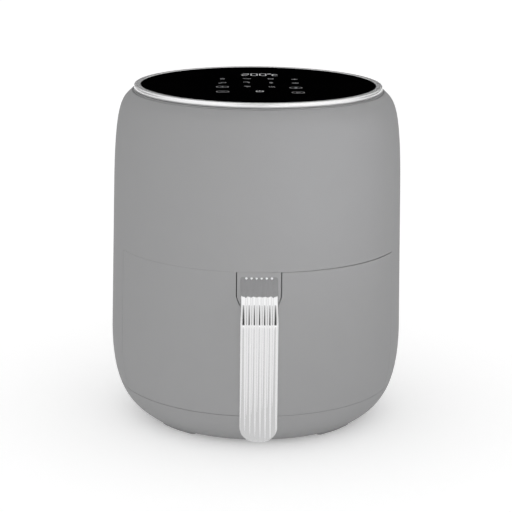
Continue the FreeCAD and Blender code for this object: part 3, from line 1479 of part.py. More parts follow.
os.makedirs("parts", exist_ok=True)
rear_reach = gland_face_y() + GLAND_FLANGE
to_middle = vec(0, (handle_reach() - rear_reach) / 2, 0)
for make in PIECES:
    shape = make()
    shape.translate(to_middle)
    shape.exportStep("parts/%s.step" % make.__name__)
print("drum axis at y = %.3f mm, overall depth %.3f mm" % (to_middle.y, handle_reach() + rear_reach))
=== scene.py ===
# %% [markdown]
# # A drum air fryer, dressed for its picture
#
# The maker's model gives every piece its true shape and place. This lesson loads it, sets up a small
# photo studio, mixes the finishes, and then remodels the pieces that the eye rests on: the grey drum
# with its seams, the bright ring, the glass panel and the fluted handle. Each step says what the piece
# is on the real fryer and why it is made the way it is.

# %% Load the maker's model
import json
import math

import bmesh
import bpy
from mathutils import Matrix, Vector


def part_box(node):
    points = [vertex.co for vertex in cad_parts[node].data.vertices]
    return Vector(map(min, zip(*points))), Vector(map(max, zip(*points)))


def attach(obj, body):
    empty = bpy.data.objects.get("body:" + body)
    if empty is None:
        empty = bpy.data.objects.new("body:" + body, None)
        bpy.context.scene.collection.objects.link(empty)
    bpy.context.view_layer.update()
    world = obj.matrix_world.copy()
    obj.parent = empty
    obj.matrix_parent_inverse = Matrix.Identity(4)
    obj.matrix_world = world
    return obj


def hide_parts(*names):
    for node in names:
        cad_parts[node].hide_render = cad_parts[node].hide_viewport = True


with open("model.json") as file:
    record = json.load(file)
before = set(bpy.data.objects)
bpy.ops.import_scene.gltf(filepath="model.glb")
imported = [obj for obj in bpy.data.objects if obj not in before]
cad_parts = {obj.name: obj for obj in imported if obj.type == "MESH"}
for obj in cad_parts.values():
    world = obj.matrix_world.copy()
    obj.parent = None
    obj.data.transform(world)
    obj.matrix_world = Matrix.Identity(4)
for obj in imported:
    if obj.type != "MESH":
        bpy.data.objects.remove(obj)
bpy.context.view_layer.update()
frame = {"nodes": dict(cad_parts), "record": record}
nodes = frame["nodes"]
scene = bpy.context.scene

glass_low, glass_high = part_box("control_glass")
AXIS_Y = (glass_low.y + glass_high.y) / 2
print(len(nodes), "pieces loaded; the drum's axis stands at y =", round(AXIS_Y, 4), "m")

# %% [markdown]
# ## Camera
#
# The picture was taken from the front with a long lens, a little above the top of the fryer. A long lens
# far away keeps the drum's sides nearly parallel. The camera circles the drum's axis by about one degree,
# looks down by fourteen, and leans very slightly to one side, so these turns are written one after the
# other as a chain of matrices.

# %% Place the camera
SENSOR_WIDTH = 36.0
LENS = 122.0
CAMERA_ORBIT = -1.1
CAMERA_DISTANCE = 1.598
CAMERA_HEIGHT = 0.5565
CAMERA_PITCH = 14.32
CAMERA_LEAN = 0.62
CAMERA_TURN = 0.015

camera_data = bpy.data.cameras.new("studio_camera")
camera_data.sensor_width = SENSOR_WIDTH
camera_data.lens = LENS
camera = bpy.data.objects.new("studio_camera", camera_data)
scene.collection.objects.link(camera)
camera.matrix_world = (
    Matrix.Translation((0, AXIS_Y, 0))
    @ Matrix.Rotation(math.radians(CAMERA_ORBIT), 4, "Z")
    @ Matrix.Translation((0, -CAMERA_DISTANCE, CAMERA_HEIGHT))
    @ Matrix.Rotation(math.radians(CAMERA_TURN), 4, "Z")
    @ Matrix.Rotation(math.radians(90 - CAMERA_PITCH), 4, "X")
    @ Matrix.Rotation(math.radians(CAMERA_LEAN), 4, "Z")
)
scene.camera = camera
scene.view_settings.view_transform = "Standard"
print("camera at", [round(x, 3) for x in camera.matrix_world.translation])

# %% [markdown]
# ## Studio
#
# A product picture has a white sweep of paper and light from all around. The air looks white to the
# camera and to mirrors, while the light that falls on the fryer stays at a plain level and is a little
# stronger from above. The Light Path node tells the two apart. The floor is a lit sheet of paper with a
# faint glow of its own: it stays white far away, takes the soft shadow under the drum, and sends some
# light back up to the base, as white paper does.

# %% Helpers for node trees
NOISE_LOW = 0.3
NOISE_HIGH = 0.7


def fill(tree, node, inputs):
    """Set a node's inputs; an input that is given a socket is linked to it."""
    for key, value in inputs.items():
        if isinstance(value, bpy.types.NodeSocket):
            tree.links.new(value, node.inputs[key])
        else:
            node.inputs[key].default_value = value


def wire(tree, kind, inputs, **settings):
    """Add a node with its settings and inputs."""
    node = tree.nodes.new("ShaderNode" + kind)
    for key, value in settings.items():
        setattr(node, key, value)
    fill(tree, node, inputs)
    return node


def maths(tree, operation, *values, **settings):
    """Work out a number from sockets and plain values."""
    return wire(tree, "Math", dict(enumerate(values)), operation=operation, **settings).outputs[0]


def remap(tree, value, low, high, first, last):
    """Carry the range from low to high over to the range from first to last, and stop at its ends."""
    return wire(tree, "MapRange", {0: value, 1: low, 2: high, 3: first, 4: last}).outputs[0]


def spread(tree, pattern, first, last):
    """A value that runs from first to last over the range that most of a noise lies in."""
    return remap(tree, pattern, NOISE_LOW, NOISE_HIGH, first, last)


def blend(tree, share, first, second, **settings):
    """Mix two colours by a share of the second."""
    return wire(tree, "Mix", {0: share, 6: first, 7: second}, data_type="RGBA", **settings).outputs[2]


def object_point(tree):
    return wire(tree, "TexCoord", {}).outputs["Object"]


def noise(tree, point, scale, detail, roughness=0.5):
    """Soft random patches."""
    inputs = {"Vector": point, "Scale": scale, "Detail": detail, "Roughness": roughness}
    return wire(tree, "TexNoise", inputs).outputs[0]


def background_rays(tree):
    """A value of one for rays from the camera, from mirrors and through glass."""
    path = wire(tree, "LightPath", {}).outputs
    both = maths(tree, "ADD", path["Is Camera Ray"], path["Is Glossy Ray"])
    return maths(tree, "ADD", both, path["Is Transmission Ray"], use_clamp=True)


def bare_material(name):
    """A material with an empty tree, for the things in the studio."""
    material = bpy.data.materials.new(name)
    material.use_nodes = True
    material.node_tree.nodes.clear()
    return material, material.node_tree


print("helpers ready")

# %% White surroundings
WHITE = (1, 1, 1, 1)
SEEN_AIR = 1.0
SOFT_AIR = 0.695
AIR_SWING = 0.19
BRIGHT_SIDE = (-0.05, -0.1, 0.99)

world = bpy.data.worlds.new("white_studio")
world.use_nodes = True
scene.world = world
tree = world.node_tree
tree.nodes.clear()
towards = wire(tree, "TexCoord", {}).outputs["Generated"]
facing = wire(tree, "VectorMath", {0: towards, 1: BRIGHT_SIDE}, operation="DOT_PRODUCT")
level = maths(tree, "MULTIPLY_ADD", facing.outputs["Value"], AIR_SWING, SOFT_AIR)
soft_air = wire(tree, "Background", {"Color": WHITE, "Strength": level})
seen_air = wire(tree, "Background", {"Color": WHITE, "Strength": SEEN_AIR})
air = wire(tree, "MixShader", {0: background_rays(tree), 1: soft_air.outputs[0], 2: seen_air.outputs[0]})
wire(tree, "OutputWorld", {"Surface": air.outputs[0]})
print("white surroundings ready")

# %% Floor
FLOOR_RADIUS = 30.0
FLOOR_CORNERS = 64
PAPER = (0.98, 0.98, 0.98, 1)
FLOOR_GLOW = 0.21
SEEN_GLOW = 0.02

floor_mesh = bpy.data.meshes.new("paper_floor")
bm = bmesh.new()
bmesh.ops.create_circle(bm, cap_ends=True, segments=FLOOR_CORNERS, radius=FLOOR_RADIUS)
bm.to_mesh(floor_mesh)
bm.free()
floor = bpy.data.objects.new("paper_floor", floor_mesh)
scene.collection.objects.link(floor)

paper, tree = bare_material("paper_white")
lit = wire(tree, "BsdfDiffuse", {"Color": PAPER})
level = maths(tree, "MULTIPLY_ADD", background_rays(tree), SEEN_GLOW, FLOOR_GLOW)
glow = wire(tree, "Emission", {"Color": WHITE, "Strength": level})
sheet = wire(tree, "AddShader", {0: lit.outputs[0], 1: glow.outputs[0]})
wire(tree, "OutputMaterial", {"Surface": sheet.outputs[0]})
floor_mesh.materials.append(paper)
print("paper floor", floor.dimensions.x, "m wide")

# %% [markdown]
# ## Lamps and cards
#
# A wide lamp at the front lights the drum, and a narrow strip with a grid puts a soft bright patch on its
# upper right. A lamp that showed in the chrome would make a hard white spot, so mirrors do not see the
# lamps. Chrome and black glass have hardly any colour of their own and show what stands around them, so a
# photographer sets up cards where the picture needs depth. A black one behind the fryer keeps the glass
# black from this low angle. A dark one behind the camera, lighter towards its top, draws the dark lines
# into the handle's bend. A bright one overhead whitens the bend, a grey strip on the floor shades the
# falling part, and the cards on both sides let the ring fade to grey at its ends. Only reflections see
# the cards.

# %% Lamps
MIDDLE = (0, AXIS_Y, 0.17)
UPPER_RIGHT = (0.061, -0.104, 0.29)


def softbox(name, place, aim, width, height, beam, watts):
    """A lamp behind a grid: its light leaves within a beam of so many degrees."""
    lamp = bpy.data.lights.new(name, "AREA")
    lamp.shape = "RECTANGLE"
    lamp.size = width
    lamp.size_y = height
    lamp.spread = math.radians(beam)
    lamp.energy = watts
    box = bpy.data.objects.new(name, lamp)
    scene.collection.objects.link(box)
    box.location = place
    box.rotation_euler = (Vector(aim) - Vector(place)).to_track_quat("-Z", "Y").to_euler()
    box.visible_glossy = False


softbox("front_softbox", place=(0.0, -2.5, 0.45), aim=MIDDLE, width=0.6, height=0.6, beam=180, watts=7.5)
softbox("right_strip", place=(0.59, -1.142, 0.42), aim=UPPER_RIGHT, width=0.06, height=0.3, beam=14,
        watts=0.026)
print("two softboxes")

# %% Cards
SIDE_CARD_X = 1.2


def studio_card(name, width, height, place, tilt, shade, turn=0, fade=None):
    """A flat card that only mirrors see.

    A fade names an axis, where along it the shade starts and stops changing, and the last shade.
    """
    mesh = bpy.data.meshes.new(name)
    bm = bmesh.new()
    bmesh.ops.create_grid(bm, x_segments=1, y_segments=1, size=0.5)
    bmesh.ops.scale(bm, verts=bm.verts, vec=(width, height, 1))
    stand = Matrix.Rotation(math.radians(turn), 3, "Z") @ Matrix.Rotation(math.radians(tilt), 3, "X")
    bmesh.ops.rotate(bm, verts=bm.verts, cent=(0, 0, 0), matrix=stand)
    bmesh.ops.translate(bm, verts=bm.verts, vec=place)
    bm.to_mesh(mesh)
    bm.free()
    material, tree = bare_material(name)
    if fade:
        axis, start, end, last_shade = fade
        here = wire(tree, "SeparateXYZ", {0: object_point(tree)}).outputs[axis]
        shade = remap(tree, here, start, end, shade, last_shade)
    colour = wire(tree, "Emission", {"Color": WHITE, "Strength": shade})
    wire(tree, "OutputMaterial", {"Surface": colour.outputs[0]})
    mesh.materials.append(material)
    card = bpy.data.objects.new(name, mesh)
    scene.collection.objects.link(card)
    card.visible_camera = False
    card.visible_diffuse = False
    card.visible_shadow = False


studio_card("card_behind_fryer", width=1.1, height=0.4, place=(0, 1.2, 0.53), tilt=90, shade=0.0)
studio_card("card_behind_camera", width=1.2, height=4.0, place=(0, -1.75, 2.13), tilt=90, shade=0.05,
            fade=("Z", 0.13, 4.13, 0.5))
studio_card("card_overhead", width=3.0, height=1.9, place=(0, -0.1, 2.6), tilt=0, shade=1.2)
studio_card("card_on_floor", width=0.18, height=1.68, place=(-0.03, -1.01, 0.003), tilt=0, shade=0.76)
for name, x in (("card_on_left", -SIDE_CARD_X), ("card_on_right", SIDE_CARD_X)):
    studio_card(name, width=2.6, height=0.8, place=(x, 0.8, 0.4), tilt=90, turn=90, shade=0.95,
                fade=("Y", -0.05, 0.45, 0.06))
print("six cards")

# %% [markdown]
# ## Finishes
#
# Every finish is one material with its detail worked out from the piece's own coordinates, so nothing
# slides when a piece moves. Details that several finishes share are node groups: the fine spark grain of
# a moulded tool, the lines of brushed sheet, the specks in a non-stick coat and the brown that heat
# leaves on steel. A group puts out colours and heights only; the shader itself stays in the material.

# %% Helpers for node groups
def detail_group(name, inputs, outputs):
    """A shader node group with named sockets; returns its tree, its inputs and its output node."""
    group = bpy.data.node_groups.new(name, "ShaderNodeTree")
    for label, value in inputs.items():
        kind = "NodeSocketColor" if isinstance(value, tuple) else "NodeSocketFloat"
        group.interface.new_socket(label, in_out="INPUT", socket_type=kind).default_value = value
    for label in outputs:
        kind = "NodeSocketColor" if label == "Colour" else "NodeSocketFloat"
        group.interface.new_socket(label, in_out="OUTPUT", socket_type=kind)
    start = group.nodes.new("NodeGroupInput")
    end = group.nodes.new("NodeGroupOutput")
    return group, start.outputs, end


def tint(tree, colour, amount):
    """A colour brightened or darkened by a factor that changes over the surface."""
    return blend(tree, 1.0, colour, amount, blend_type="MULTIPLY")


def mottled(tree, colour, pattern, amount):
    """A colour that a pattern brightens and darkens about its middle."""
    swing = maths(tree, "SUBTRACT", pattern, 0.5)
    return tint(tree, colour, maths(tree, "MULTIPLY_ADD", swing, amount, 1.0))


print("group helpers ready")

# %% Moulded grain
tree, given, end = detail_group(
    "moulded_grain", {"Colour": (0.3, 0.3, 0.3, 1), "Grain": 1800.0, "Mottle": 0.04},
    ["Colour", "Roughness", "Height"])
grain_group = tree
point = object_point(tree)
cloud = noise(tree, point, scale=38.0, detail=3.0)
fill(tree, end, {
    "Colour": mottled(tree, given["Colour"], cloud, given["Mottle"]),
    "Roughness": spread(tree, cloud, 0.46, 0.58),
    "Height": noise(tree, point, scale=given["Grain"], detail=2.0, roughness=0.6),
})
print("moulded grain group")

# %% Brushed lines
tree, given, end = detail_group(
    "brushed_lines", {"Colour": (0.5, 0.5, 0.5, 1), "Across": 1400.0, "Along": 30.0, "Depth": 0.12},
    ["Colour", "Roughness", "Height"])
brushed_group = tree
stretch = wire(tree, "CombineXYZ", {"X": given["Along"], "Y": given["Along"], "Z": given["Across"]})
point = wire(tree, "VectorMath", {0: object_point(tree), 1: stretch.outputs[0]}, operation="MULTIPLY")
lines = noise(tree, point.outputs[0], scale=1.0, detail=3.0, roughness=0.7)
fill(tree, end, {
    "Colour": mottled(tree, given["Colour"], lines, given["Depth"]),
    "Roughness": spread(tree, lines, 0.28, 0.44),
    "Height": lines,
})
print("brushed lines group")

# %% Coating flecks
FLECK_SHARE = 0.28
FLECK_CORE = 0.10
FLECK_REACH = 0.18

tree, given, end = detail_group(
    "coating_flecks", {"Colour": (0.025, 0.025, 0.027, 1), "Fleck": (0.25, 0.25, 0.25, 1), "Scale": 900.0},
    ["Colour", "Height"])
fleck_group = tree
cells = wire(tree, "TexVoronoi", {"Vector": object_point(tree), "Scale": given["Scale"]}).outputs
speck = remap(tree, cells["Distance"], FLECK_CORE, FLECK_REACH, 1.0, 0.0)
chance = wire(tree, "SeparateColor", {0: cells["Color"]}).outputs[0]
mask = maths(tree, "MULTIPLY", speck, maths(tree, "GREATER_THAN", chance, 1 - FLECK_SHARE))
fill(tree, end, {"Colour": blend(tree, mask, given["Colour"], given["Fleck"]), "Height": mask})
print("coating fleck group")

# %% Heat tint
CLEAN_BELOW = 0.42
BROWN_ABOVE = 0.68

tree, given, end = detail_group(
    "heat_tint",
    {"Colour": (0.5, 0.5, 0.5, 1), "Tint": (0.30, 0.18, 0.09, 1), "Scale": 26.0, "Amount": 0.5},
    ["Colour"])
heat_group = tree
cloud = noise(tree, object_point(tree), scale=given["Scale"], detail=4.0)
patch = remap(tree, cloud, CLEAN_BELOW, BROWN_ABOVE, 0.0, 1.0)
mask = maths(tree, "MULTIPLY", patch, given["Amount"])
fill(tree, end, {"Colour": blend(tree, mask, given["Colour"], given["Tint"])})
print("heat tint group")

# %% Helpers for finishes
GRAIN_DEPTH = 0.0002
BRUSH_DEPTH = 0.0001
BRUSH_STRENGTH = 0.08
HAZE_LOW = 0.35
HAZE_HIGH = 0.75

finishes = {}


def new_finish(name, **sockets):
    """Start a finish with its shader's plain values set; returns its tree and the shader."""
    material = bpy.data.materials.new(name)
    material.use_nodes = True
    shader = material.node_tree.nodes["Principled BSDF"]
    for key, value in sockets.items():
        shader.inputs[key.replace("_", " ")].default_value = value
    finishes[name] = material
    return material.node_tree, shader


def place_group(tree, group, inputs):
    """Put a detail group into a finish; returns what the group gives."""
    node = tree.nodes.new("ShaderNodeGroup")
    node.node_tree = group
    fill(tree, node, inputs)
    return node.outputs


def emboss(tree, shader, height, strength, distance):
    """Let a pattern of heights bend the light on the surface."""
    bump = wire(tree, "Bump", {"Height": height, "Strength": strength, "Distance": distance})
    fill(tree, shader, {"Normal": bump.outputs[0]})


def moulded(slot, colour, grain=1800.0, mottle=0.04, strength=0.12, **sockets):
    """A moulded finish with a fine spark grain."""
    tree, shader = new_finish(slot, **sockets)
    detail = place_group(tree, grain_group, {"Colour": colour + (1,), "Grain": grain, "Mottle": mottle})
    fill(tree, shader, {"Base Color": detail["Colour"], "Roughness": detail["Roughness"]})
    emboss(tree, shader, detail["Height"], strength, GRAIN_DEPTH)


def brushed(slot, colour, across=1400.0, along=30.0, depth=0.12, heat=0.0):
    """A brushed metal, browned by an amount of heat."""
    tree, shader = new_finish(slot, Metallic=1.0)
    inputs = {"Colour": colour + (1,), "Across": across, "Along": along, "Depth": depth}
    detail = place_group(tree, brushed_group, inputs)
    tinted = detail["Colour"]
    if heat:
        tinted = place_group(tree, heat_group, {"Colour": tinted, "Amount": heat})["Colour"]
    fill(tree, shader, {"Base Color": tinted, "Roughness": detail["Roughness"]})
    emboss(tree, shader, detail["Height"], BRUSH_STRENGTH, BRUSH_DEPTH)


def polished(slot, scale, detail, gloss, colours, **sockets):
    """A polished finish with a faint haze in its gloss and its colour."""
    tree, shader = new_finish(slot, **sockets)
    haze = noise(tree, object_point(tree), scale, detail)
    rough = remap(tree, haze, HAZE_LOW, HAZE_HIGH, *gloss)
    fill(tree, shader, {"Base Color": blend(tree, haze, *colours), "Roughness": rough})


print("finish helpers ready")

# %% Plastics and rubber
moulded("body_grey", (0.315, 0.315, 0.318), mottle=0.03, strength=0.10, Specular_IOR_Level=0.01)
moulded("dark_plastic", (0.030, 0.030, 0.032), grain=1500.0, strength=0.16)
moulded("foot_rubber", (0.285, 0.285, 0.288), grain=1100.0, mottle=0.10, strength=0.2,
        Specular_IOR_Level=0.2)
moulded("silicone", (0.045, 0.045, 0.048), grain=900.0, mottle=0.2, strength=0.2, Specular_IOR_Level=0.25)
moulded("component_black", (0.022, 0.022, 0.023), grain=900.0, mottle=0.2, strength=0.2)
moulded("fan_plastic", (0.045, 0.045, 0.047), grain=1200.0, mottle=0.08)
moulded("insulator_ceramic", (0.78, 0.75, 0.68), grain=1500.0, mottle=0.08, strength=0.15)
print(sorted(finishes))

# %% Sheet metals and screws
brushed("chamber_steel", (0.56, 0.56, 0.55), heat=0.25)
brushed("screw_steel", (0.52, 0.52, 0.51), across=3000.0, along=900.0, depth=0.2)
brushed("element_steel", (0.12, 0.115, 0.11), across=700.0, along=500.0, depth=0.3, heat=0.7)
brushed("fan_aluminium", (0.70, 0.70, 0.71), across=600.0, along=600.0, depth=0.1)
brushed("bush_bronze", (0.50, 0.30, 0.12), across=2500.0, along=2500.0, depth=0.25)
print(len(finishes), "finishes")

# %% Copper windings
STRAND_SCALE = 348.889
GROOVE_SHADE_COPPER = (0.30, 0.09, 0.03, 1)
BRIGHT_COPPER = (0.62, 0.24, 0.10, 1)

tree, shader = new_finish("copper_winding", Metallic=1.0, Coat_Weight=0.5, Coat_Roughness=0.1)
inputs = {"Vector": object_point(tree), "Scale": STRAND_SCALE, "Distortion": 0.6, "Detail": 1.0}
strands = wire(tree, "TexWave", inputs, wave_type="BANDS", bands_direction="Z").outputs["Fac"]
# The strands' colour runs from a painted shade in the grooves between the wires to bright copper on their
# crests; the same bands also set the roughness and the bump.
fill(tree, shader, {
    "Base Color": blend(tree, strands, GROOVE_SHADE_COPPER, BRIGHT_COPPER),
    "Roughness": remap(tree, strands, 0.0, 1.0, 0.42, 0.26),
})
emboss(tree, shader, strands, strength=0.5, distance=0.0004)
print("copper windings")

# %% Circuit boards
DARK_LACQUER = (0.018, 0.12, 0.05, 1)
GREEN_LACQUER = (0.025, 0.15, 0.065, 1)
TRACK = (0.05, 0.24, 0.10, 1)

tree, shader = new_finish("circuit_board", Coat_Weight=0.4, Coat_Roughness=0.12)
point = object_point(tree)
tracks = wire(tree, "TexBrick", {
    "Vector": point, "Color1": DARK_LACQUER, "Color2": GREEN_LACQUER, "Mortar": TRACK,
    "Scale": 160.0, "Mortar Size": 0.06, "Bias": -0.2,
}).outputs
cloud = noise(tree, point, scale=90.0, detail=3.0)
fill(tree, shader, {
    "Base Color": tint(tree, tracks["Color"], spread(tree, cloud, 0.85, 1.1)),
    "Roughness": spread(tree, cloud, 0.32, 0.46),
})
emboss(tree, shader, tracks["Fac"], strength=0.2, distance=0.0002)
print("circuit boards")

# %% Non-stick coat
tree, shader = new_finish("nonstick", Coat_Weight=0.25, Coat_Roughness=0.25)
flecks = place_group(tree, fleck_group, {"Fleck": (0.16, 0.16, 0.165, 1)})
grain = place_group(tree, grain_group, {"Colour": flecks["Colour"], "Grain": 1300.0, "Mottle": 0.25})
fill(tree, shader, {"Base Color": grain["Colour"], "Roughness": grain["Roughness"]})
emboss(tree, shader, grain["Height"], strength=0.15, distance=GRAIN_DEPTH)
print("non-stick coat")

# %% Chrome and glass
polished("chrome_trim", scale=240.0, detail=4.0, gloss=(0.06, 0.10),
         colours=((0.745, 0.745, 0.75, 1), (0.77, 0.77, 0.775, 1)), Metallic=1.0)
polished("black_glass", scale=35.0, detail=5.0, gloss=(0.015, 0.05),
         colours=((0.0004, 0.0004, 0.0005, 1), (0.001, 0.001, 0.0012, 1)), Specular_IOR_Level=0.5, IOR=1.5)
print(len(finishes), "finishes")

# %% Give every node its finish
for part in frame["record"]["subparts"]:
    for holder in nodes[part["node"]].material_slots:
        holder.material = finishes[part["material_slot"]]

# %% [markdown]
# ## The drum
#
# The housing, the drawer's skin and the block at the handle's root are cut from one turned form, so their
# surfaces run on across the seams. The side of the drum is a smooth curve: a belly, a straight taper and
# a round shoulder that ends in a thin lip. A Bezier curve draws that side, spin turns it about the axis,
# and planes cut the pieces out of it. The Solidify modifier then gives each piece its wall, and the Bevel
# modifier rounds the edges, which is what catches the light along a real moulded seam. A real drawer
# never hangs quite square: the seam over it is shut on the left and opens by half a millimetre to the
# right, so one cutting plane leans a little.

# %% Helpers for turned shapes
MM = 0.001
MERGE = 0.001
SHARP_ANGLE = math.radians(40)


def curve_mesh(curve):
    """Turn a curve into a bmesh, and clear the curve away."""
    holder = bpy.data.objects.new(curve.name, curve)
    mesh = bpy.data.meshes.new_from_object(holder)
    bm = bmesh.new()
    bm.from_mesh(mesh)
    bpy.data.objects.remove(holder)
    bpy.data.curves.remove(curve)
    bpy.data.meshes.remove(mesh)
    return bm


def outline(points, cyclic=False, steps=20):
    """A chain of edges in the X-Z plane along a Bezier line; a missing handle makes a straight run."""
    curve = bpy.data.curves.new("outline", "CURVE")
    curve.dimensions = "3D"
    curve.resolution_u = steps
    line = curve.splines.new("BEZIER")
    line.bezier_points.add(len(points) - 1)
    line.use_cyclic_u = cyclic
    for knot, (place, before, after) in zip(line.bezier_points, points):
        knot.co = (place[0], 0, place[1])
        knot.handle_left_type = "FREE" if before else "VECTOR"
        knot.handle_right_type = "FREE" if after else "VECTOR"
        if before:
            knot.handle_left = (before[0], 0, before[1])
        if after:
            knot.handle_right = (after[0], 0, after[1])
    return curve_mesh(curve)


def corners(points):
    """Outline points without handles, for straight runs only."""
    return [(point, None, None) for point in points]


def turned(points, cyclic=False, steps=20, turns=192):
    """Spin an outline once about the drum's axis."""
    bm = outline(points, cyclic, steps)
    bmesh.ops.spin(bm, geom=bm.verts[:] + bm.edges[:], cent=(0, 0, 0), axis=(0, 0, 1), dvec=(0, 0, 0),
                   angle=math.tau, steps=turns, use_merge=True)
    bmesh.ops.remove_doubles(bm, verts=bm.verts, dist=MERGE)
    bmesh.ops.recalc_face_normals(bm, faces=bm.faces)
    return bm


def settle(bm, name, body, slot, *replaced):
    """Bring a shape from millimetres about the drum's axis into the frame and hang it on its body."""
    bmesh.ops.scale(bm, vec=(MM, MM, MM), verts=bm.verts)
    bmesh.ops.translate(bm, vec=(0, AXIS_Y, 0), verts=bm.verts)
    mesh = bpy.data.meshes.new(name)
    bm.to_mesh(mesh)
    bm.free()
    mesh.shade_smooth()
    mesh.materials.append(finishes[slot])
    piece = bpy.data.objects.new(name, mesh)
    scene.collection.objects.link(piece)
    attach(piece, body)
    if replaced:
        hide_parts(*replaced)
    print(name, len(mesh.polygons), "faces")
    return piece


def even_shading(piece):
    """Shading that keeps the wide faces even."""
    even = piece.modifiers.new("shading", "WEIGHTED_NORMAL")
    even.keep_sharp = True


def wall_and_edges(piece, wall, edge):
    """A wall inwards of the surface, rounded edges and even shading."""
    thick = piece.modifiers.new("wall", "SOLIDIFY")
    thick.thickness = wall * MM
    thick.offset = -1.0
    soft = piece.modifiers.new("edges", "BEVEL")
    soft.width = edge * MM
    soft.segments = 3
    soft.limit_method = "ANGLE"
    soft.angle_limit = SHARP_ANGLE
    even_shading(piece)


print("shape helpers ready")

# %% Drum form
DRUM_SIDE = [
    ((106.7, 3.0), None, (119.3, 11.9)),
    ((137.0, 82.5), (137.0, 23.6), None),
    ((134.05, 222.0), None, (132.37, 301.3)),
    ((117.7, 307.6), (125.1, 300.0), None),
    ((116.6, 307.75), None, None),
    ((115.9, 307.0), None, None),
    ((110.0, 307.0), None, None),
]
drum = turned(DRUM_SIDE)
print("drum form", len(drum.faces), "faces")

# %% Cutting planes
FACING_UP = (0, 0, 1)
FACING_SIDE = (1, 0, 0)
CUT_MERGE = 0.0005


def cut(bm, place, facing, where=None):
    """Cut the faces that a test picks along a plane, leaving both sides in place."""
    faces = [f for f in bm.faces if where is None or where(f.calc_center_median())]
    edges = {e for f in faces for e in f.edges}
    verts = {v for f in faces for v in f.verts}
    geom = faces + list(edges) + list(verts)
    bmesh.ops.bisect_plane(bm, geom=geom, dist=CUT_MERGE, plane_co=place, plane_no=facing)


def drop(bm, where):
    doomed = [f for f in bm.faces if where(f.calc_center_median())]
    bmesh.ops.delete(bm, geom=doomed, context="FACES")


def in_front(point):
    return point.y < 0


def behind(point):
    return point.y > 0


def on_left(point):
    return point.x < 0


def on_right(point):
    return point.x > 0


def side_plane(angle):
    """Facing of a plane through the axis at an angle from the front."""
    turn = math.radians(angle)
    return (math.cos(turn), math.sin(turn), 0)


def off_front(point):
    """Angle of a point from the front, in degrees."""
    return abs(math.degrees(math.atan2(point.x, -point.y)))


print("cutting helpers ready")

# %% Housing shell
LOW_SEAM = 34.0
HIGH_SEAM = 168.0
OPENING_ANGLE = 65.5
WALL = 2.6
SHELL_EDGE = 0.12
GRILLE_HALF = 46.0
GRILLE_LOW = 175.6
GRILLE_HIGH = 237.6
LEAD_HALF = 5.0
LEAD_LEVEL = 60.0
REAR_WINDOWS = [
    (GRILLE_HALF, GRILLE_LOW, GRILLE_HIGH),
    (LEAD_HALF, LEAD_LEVEL - LEAD_HALF, LEAD_LEVEL + LEAD_HALF),
]

shell = drum.copy()
cut(shell, (0, 0, LOW_SEAM), FACING_UP)
drop(shell, lambda p: p.z < LOW_SEAM)
cut(shell, (0, 0, HIGH_SEAM), FACING_UP, in_front)
for side in (-1, 1):
    cut(shell, (0, 0, 0), side_plane(side * OPENING_ANGLE), in_front)
drop(shell, lambda p: p.z < HIGH_SEAM and off_front(p) < OPENING_ANGLE)
for half, low, high in REAR_WINDOWS:
    for side in (-1, 1):
        cut(shell, (side * half, 0, 0), FACING_SIDE, behind)
    for level in (low, high):
        cut(shell, (0, 0, level), FACING_UP, behind)
    drop(shell, lambda p: p.y > 0 and abs(p.x) < half and low < p.z < high)
housing = settle(shell, "housing_shell", "casing", "body_grey", "outer_housing")
wall_and_edges(housing, WALL, SHELL_EDGE)

# %% Seams and notch of the drawer
HIGH_GAP_LEFT = 0.05
HIGH_GAP_RIGHT = 0.15
HIGH_LEAN = 0.004
LOW_GAP_LEFT = 0.10
LOW_GAP_RIGHT = 0.0
NOTCH_HALF = 20.2
NOTCH_FOOT = 17.2
NOTCH_BEND = HIGH_SEAM - 22.5
NOTCH_LOW = HIGH_SEAM - 30.0
DRAWER_ANGLE = 65.34


def cut_notch(bm, gap):
    """Cut the outline of the handle's root, drawn in by a gap."""
    slope = (NOTCH_BEND - NOTCH_LOW, NOTCH_HALF - NOTCH_FOOT)
    for side in (-1, 1):
        cut(bm, (side * (NOTCH_HALF - gap), 0, 0), FACING_SIDE, in_front)
        cut(bm, (side * (NOTCH_FOOT - gap), 0, NOTCH_LOW), (side * slope[0], 0, -slope[1]), in_front)
    cut(bm, (0, 0, NOTCH_LOW + gap), FACING_UP, in_front)


def in_notch(point, gap):
    lean = (NOTCH_HALF - NOTCH_FOOT) / (NOTCH_BEND - NOTCH_LOW)
    half = min(NOTCH_HALF, NOTCH_FOOT + lean * (point.z - NOTCH_LOW)) - gap
    return point.y < 0 and point.z > NOTCH_LOW + gap and abs(point.x) < half


def under_low_seam(point):
    return point.z < LOW_SEAM + (LOW_GAP_LEFT if point.x < 0 else LOW_GAP_RIGHT)


def over_high_seam(point):
    gap = HIGH_GAP_LEFT if point.x < 0 else HIGH_GAP_RIGHT + HIGH_LEAN * point.x
    return point.z > HIGH_SEAM - gap


def front_band(bm):
    """Keep the front of the drum between the two seams; the upper one opens a hair towards the right."""
    drop(bm, behind)
    cut(bm, (0, 0, LOW_SEAM + LOW_GAP_LEFT), FACING_UP, on_left)
    cut(bm, (0, 0, LOW_SEAM + LOW_GAP_RIGHT), FACING_UP, on_right)
    drop(bm, under_low_seam)
    cut(bm, (0, 0, HIGH_SEAM - HIGH_GAP_LEFT), FACING_UP, on_left)
    cut(bm, (0, 0, HIGH_SEAM - HIGH_GAP_RIGHT), (HIGH_LEAN, 0, 1), on_right)
    drop(bm, over_high_seam)
    for side in (-1, 1):
        cut(bm, (0, 0, 0), side_plane(side * DRAWER_ANGLE))
    drop(bm, lambda p: off_front(p) > DRAWER_ANGLE)


print("drawer helpers ready")

# %% Drawer skin
SKIN_EDGE = 0.06

skin = drum.copy()
front_band(skin)
cut_notch(skin, 0.0)
drop(skin, lambda p: in_notch(p, 0.0))
drawer_skin = settle(skin, "drawer_skin", "drawer", "body_grey", "drawer_front")
wall_and_edges(drawer_skin, WALL, SKIN_EDGE)

